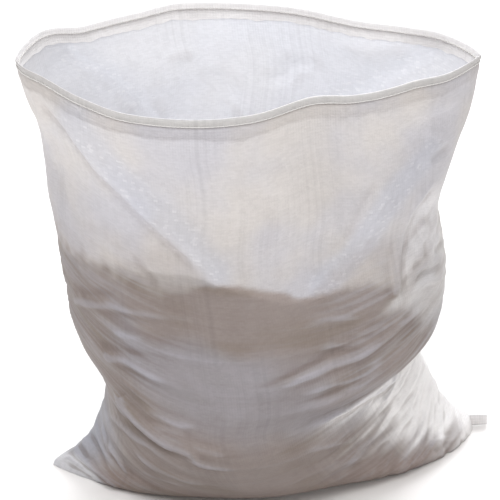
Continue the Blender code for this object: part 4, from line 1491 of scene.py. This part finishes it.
class ClothShader(Shader):
    """White woven tape cloth, with the places and shares that its colours depend on."""

    def __init__(self, name):
        super().__init__(name)
        uv = self.node("ShaderNodeUVMap", uv_map="cloth")
        self.around, self.down = (self.node("ShaderNodeSeparateXYZ", {0: uv}, axis)
                                  for axis in (0, 1))
        self.behind, self.flow = self.attribute("fill_behind"), self.attribute("flow")
        self.sky, self.back = self.attribute("sky"), self.attribute("back")
        self.painted_light = self.attribute("painted_light")
        # Painted sheen: the fold ridges turn bluer, as sky reflected on them
        self.sheen = self.between(self.attribute("fold"), *SHEEN_RAMP)
        self.speck = self.tape_specks()

    def tape_specks(self):
        """A tone for each visible bit of tape, 0 to 1, as the tapes cross from row to row."""
        row = self.math("FLOOR", self.down / (SPECK_HIGH * TAPE))
        column = self.math("FLOOR", row * SPECK_SHIFT + self.around / (SPECK_WIDE * TAPE))
        return self.node("ShaderNodeTexWhiteNoise", {"Vector": self.vector(column, row)},
                         noise_dimensions="2D")

    def patchy(self, scale, detail):
        """Noise in round patches."""
        return self.noise(self.vector(self.around, self.down), scale, detail)

    def stretched(self, line, scale_around, scale_line):
        """Noise drawn out along one way of the cloth."""
        return self.noise(self.vector(self.around * scale_around, line * scale_line), 1.0, 1.0)

    def weave(self):
        """Height of flat tapes that pass over and under each other, 0 to 1."""
        turn = math.pi / TAPE
        across, along = self.math("SINE", self.around * turn), self.math("SINE", self.down * turn)
        warp_over = self.math("GREATER_THAN", across * along, 0.0)
        across, along = self.math("ABSOLUTE", across), self.math("ABSOLUTE", along)
        warp, weft = (self.math("POWER", long, TAPE_EDGE) * short
                      for long, short in ((across, along), (along, across)))
        return self.node("ShaderNodeMix", {0: warp_over, 2: weft, 3: warp}, data_type="FLOAT")

    def free_colour(self):
        """The cloth where it stands free, with its painted sheen, light and shade."""
        tint = self.between(self.patchy(*TINT_PATCHES), *TINT_RAMP)
        colour = self.mix(self.sheen, self.mix(tint, CLOTH_CREAM, CLOTH_LILAC), CLOTH_SHEEN)
        # Painted light: the back half paler and bluer, as if lit through the cloth from behind
        colour = self.mix(self.back * BACK_LIT_SHARE, colour, CLOTH_BACK_LIT)
        colour = self.mix(self.between(self.sky, *SHADE_RAMP), colour, CLOTH_SHADE)
        # Painted light: turned near white by the painted light share
        return self.mix(self.painted_light, colour, CLOTH_PAINTED_LIGHT)

    def filled_colour(self):
        """Cloth over the fill: darker and browner, partly painted shade, streaked by its tension.
        """
        # Painted shade: darker and browner towards the bottom, with the ground's brown reflected
        foot = self.between(self.attribute("height"), *FOOT_RAMP)
        colour = self.mix(foot, CLOTH_FILLED, CLOTH_FOOT_SHADE)
        olive = self.between(self.stretched(self.flow, *OLIVE_STREAKS), *OLIVE_RAMP)
        colour = self.mix(olive, colour, CLOTH_OLIVE)
        # Painted reflection of the sky on the belly
        colour = self.mix(self.sky * SKY_SHARE, colour, CLOTH_SKY_REFLECTION)
        # Painted light and shade in streaks along the tension wrinkles, strongest at the sides
        wide, narrow = (self.between(self.stretched(self.flow, *streaks), *STREAK_RAMP) * share
                        for streaks, share in zip((WIDE_STREAKS, NARROW_STREAKS), STREAK_SHARES))
        streak = (wide + narrow) * self.between(self.attribute("tense"), *TENSE_RAMP)
        colour = self.mix(self.between(streak, *PALE_STREAK_RAMP), colour, CLOTH_RIDGE_HIGHLIGHT)
        colour = self.mix(self.between(streak, *DARK_STREAK_RAMP), colour, CLOTH_DUST_AND_SHADE)
        dust = self.between(self.patchy(*DUST_PATCHES), *DUST_RAMP)
        return self.mix(dust, colour, CLOTH_DUST_AND_SHADE)

    def with_relief(self, colour):
        """A colour with painted shade in small hollows and painted highlights on small ridges."""
        raised = self.attribute("raised")
        for ramp, shares, tone in ((HOLLOW_RAMP, HOLLOW_DEPTHS, CLOTH_DUST_AND_SHADE),
                                   (RIDGE_RAMP, RIDGE_LIGHTS, CLOTH_RIDGE_HIGHLIGHT)):
            filled, sky, painted_light, anywhere = shares
            share = self.behind * filled + self.sky * sky + self.painted_light * painted_light + anywhere
            colour = self.mix(self.between(raised, *ramp) * share, colour, tone)
        return colour

    def with_hem(self, colour):
        """Adds painted light on the hem's rim, its band, and painted shade under its stitching."""
        # Painted light: the rim's top and the hem's inner layer turned near white, wider on the
        # back
        inside = self.math("MAXIMUM", self.back * self.between(self.down, *BACK_RIM_RAMP),
                           self.between(self.down, *FRONT_RIM_RAMP))
        colour = self.mix(inside, colour, CLOTH_PAINTED_LIGHT)
        band = 1.0 - self.between(self.down, HEM_STITCH_DROP - BAND_BLUR,
                                  HEM_STITCH_DROP + BAND_BLUR)
        # On the back the band is painted near white as light
        hem = self.mix(self.back, HEM_BAND, CLOTH_PAINTED_LIGHT)
        colour = self.mix(band * self.between(self.down, *OUTSIDE_RAMP), colour, hem)
        from_stitch = self.math("ABSOLUTE", self.down - (HEM_STITCH_DROP + STITCH_SHADE_BELOW))
        return self.mix(self.between(from_stitch, *STITCH_SHADE_RAMP), colour, CLOTH_DUST_AND_SHADE)

    def with_tapes(self, colour, height):
        """A colour with painted glints, tones from tape to tape, and drawn-out warp threads."""
        # Painted glints: near-white specks on the fold ridges where no fill is behind
        glint = self.between(self.speck, *GLINT_RAMP) * self.sheen * (1.0 - self.behind)
        colour = self.mix(glint, colour, CLOTH_PAINTED_LIGHT)
        group, fine, rare = (self.between(self.stretched(self.down, *threads), *ramp)
                             for threads, ramp in ((THREAD_GROUPS, GROUP_RAMP),
                                                   (FINE_THREADS, FINE_RAMP),
                                                   (RARE_THREADS, RARE_RAMP)))
        tone = 1.0 - group * (fine + rare) * (1.0 - self.sheen)
        # Painted shade in the weave's gaps
        gap = self.painted_light * EAR_GAP_SHADE + GAP_SHADE
        tone = tone * self.between(height, 0.0, 1.0, gap, 1.0)
        return self.mix(1.0, colour, tone * self.between(self.speck, *SPECK_RAMP), "MULTIPLY")


def cloth_material():
    """White woven tape cloth: glossy flat tapes, darker and browner where the fill is behind."""
    shader = ClothShader("woven_cloth")
    height = shader.weave()
    colour = shader.mix(shader.behind, shader.free_colour(), shader.filled_colour())
    colour = shader.with_tapes(shader.with_hem(shader.with_relief(colour)), height)
    uneven = shader.stretched(shader.down, *TAPE_GRAIN)
    bump = shader.bump(uneven * GRAIN_HEIGHT + height, 0.50, 0.0003)
    surface = shader.surface(Base_Color=colour, Roughness=0.38, Specular_IOR_Level=0.5,
                             Normal=bump)
    through = shader.node("ShaderNodeBsdfTranslucent", {"Color": colour})
    dull = shader.back * shader.between(shader.down, *DULL_BACK_RAMP)
    thin = CLOTH_THROUGH - (dull + shader.between(shader.painted_light, *DULL_EAR_RAMP))
    both = shader.node("ShaderNodeMixShader", {0: thin, 1: surface, 2: through})
    shader.join(both, shader.tree.nodes["Material Output"].inputs["Surface"])
    return shader.material


def thread_material():
    """White sewing thread with its twist."""
    shader = Shader("sewing_thread")
    uv = shader.node("ShaderNodeUVMap", uv_map="cloth")
    twist = shader.node("ShaderNodeTexWave", {"Vector": uv, "Scale": 260.0, "Distortion": 1.0}, 1,
                        bands_direction="DIAGONAL")
    shader.surface(Base_Color=THREAD_WHITE, Roughness=0.55, Normal=shader.bump(twist, 0.4, 0.0001))
    return shader.material


# The rubble's noises by scale and detail, and how its stones' tones turn from kind to kind
GRAINS, DUST, ROUGH = (420.0, 4.0), (60.0, 5.0), (700.0, 5.0)
GRAIN_RAMP = (0.3, 0.7)
STONE_DUST_RAMP = (0.40, 0.62, 0.05, 0.60)
CONCRETE_RAMP, BRICK_RAMP, PLASTER_RAMP = (0.0, 0.72), (0.74, 0.76), (0.88, 0.90)


def rubble_material():
    """Grey-brown grit, and stones of broken concrete, plaster and brick under its dust."""
    shader = Shader("fine_rubble")
    place = shader.node("ShaderNodeTexCoord", output=3)
    grit = shader.mix(shader.between(shader.noise(place, *GRAINS), *GRAIN_RAMP), GRIT_DARK,
                      GRIT_LIGHT)
    tone, stone = shader.attribute("tone"), GRIT_DARK
    for ramp, colour in ((CONCRETE_RAMP, GRIT_LIGHT), (BRICK_RAMP, BRICK),
                         (PLASTER_RAMP, PLASTER)):
        stone = shader.mix(shader.between(tone, *ramp), stone, colour)
    dust = shader.between(shader.noise(place, *DUST), *STONE_DUST_RAMP)
    colour = shader.mix(shader.attribute("stone"), grit, shader.mix(dust, stone, grit))
    bump = shader.bump(shader.noise(place, *ROUGH), 0.8, 0.0008)
    shader.surface(Base_Color=colour, Roughness=0.92, Normal=bump)
    return shader.material


FLOOR_HALF = 8.0


def make_floor():
    """A plain pale floor, far wider than the view."""
    shader = Shader("floor")
    shader.surface(Base_Color=FLOOR_PALE, Roughness=0.9)
    mesh = bpy.data.meshes.new("floor")
    corners = [(x, y, 0.0) for x, y in ((-FLOOR_HALF, -FLOOR_HALF), (FLOOR_HALF, -FLOOR_HALF),
                                        (FLOOR_HALF, FLOOR_HALF), (-FLOOR_HALF, FLOOR_HALF))]
    mesh.from_pydata(corners, [], [(0, 1, 2, 3)])
    mesh.materials.append(shader.material)
    add_object("floor", mesh)


# The studio: a soft light high in front, one low on the right, and one behind that shines through
# the cloth, under a pale sky. Each light is (name, place, aim, size, power, colour).
LIGHTS = (("key_light", (-0.50, -1.3, 2.5), (0.0, 0.0, 0.25), 1.6, 48.0, (0.98, 0.985, 1.0)),
          ("side_light", (1.8, -0.9, 0.7), (0.1, 0.0, 0.12), 1.0, 5.2, (1.0, 0.99, 0.98)),
          ("back_light", (0.4, 2.0, 2.0), (0.0, 0.0, 0.25), 1.8, 84.0, (0.94, 0.965, 1.0)))
SKY_COLOUR = (1.0, 0.985, 0.985, 1.0)
SKY_STRENGTH = 0.58


def light_studio():
    """Square soft lights turned towards their aims, and a pale sky."""
    for name, place, aim, size, power, colour in LIGHTS:
        data = bpy.data.lights.new(name, "AREA")
        data.shape, data.size, data.energy, data.color = "SQUARE", size, power, colour
        light = add_object(name, data)
        light.location = place
        light.rotation_euler = (Vector(aim) - Vector(place)).to_track_quat("-Z", "Y").to_euler()
    world = bpy.data.worlds.new("pale_sky")
    world.use_nodes = True
    background = world.node_tree.nodes["Background"]
    background.inputs["Color"].default_value = SKY_COLOUR
    background.inputs["Strength"].default_value = SKY_STRENGTH
    bpy.context.scene.world = world


def make_camera():
    """The camera, at the photograph's angle."""
    data = bpy.data.cameras.new("camera")
    data.lens = CAMERA_LENS
    camera = add_object("camera", data)
    away = Vector((0.0, -math.cos(CAMERA_ELEVATION), math.sin(CAMERA_ELEVATION)))
    camera.location = Vector(CAMERA_AIM) + CAMERA_DISTANCE * away
    camera.rotation_euler = (math.pi / 2 - CAMERA_ELEVATION, 0.0, 0.0)
    bpy.context.scene.camera = camera


def dress(thing, material, slot, *nodes):
    """Gives a piece its material, and lets it ride on the frame in place of some CAD nodes."""
    thing.data.materials.append(material)
    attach(thing, "root")
    if nodes:
        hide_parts(*nodes)


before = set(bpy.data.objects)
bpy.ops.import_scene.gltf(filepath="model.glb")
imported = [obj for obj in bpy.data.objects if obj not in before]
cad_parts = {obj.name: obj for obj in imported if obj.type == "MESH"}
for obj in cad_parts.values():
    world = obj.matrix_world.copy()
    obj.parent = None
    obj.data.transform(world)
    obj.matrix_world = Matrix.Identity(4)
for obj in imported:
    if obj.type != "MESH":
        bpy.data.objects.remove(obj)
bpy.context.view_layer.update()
bpy.context.scene.view_settings.view_transform = "Standard"
make_camera()
cloth = Cloth()
sack = make_cloth(cloth)
tab = make_tab(cloth.place[BASE_ROWS, 0], cloth.place[BASE_ROWS, COLUMNS])
woven, thread = cloth_material(), thread_material()
dress(sack, woven, "woven_cloth", "sack")
dress(tab, woven, "woven_cloth")
dress(make_hem_thread(cloth), thread, "sewing_thread", "mouth_hem_thread")
dress(make_seam_thread(cloth), thread, "sewing_thread", "base_seam_thread")
dress(make_fill(cloth), rubble_material(), "fine_rubble", "rubble_fill")
make_floor()
light_studio()
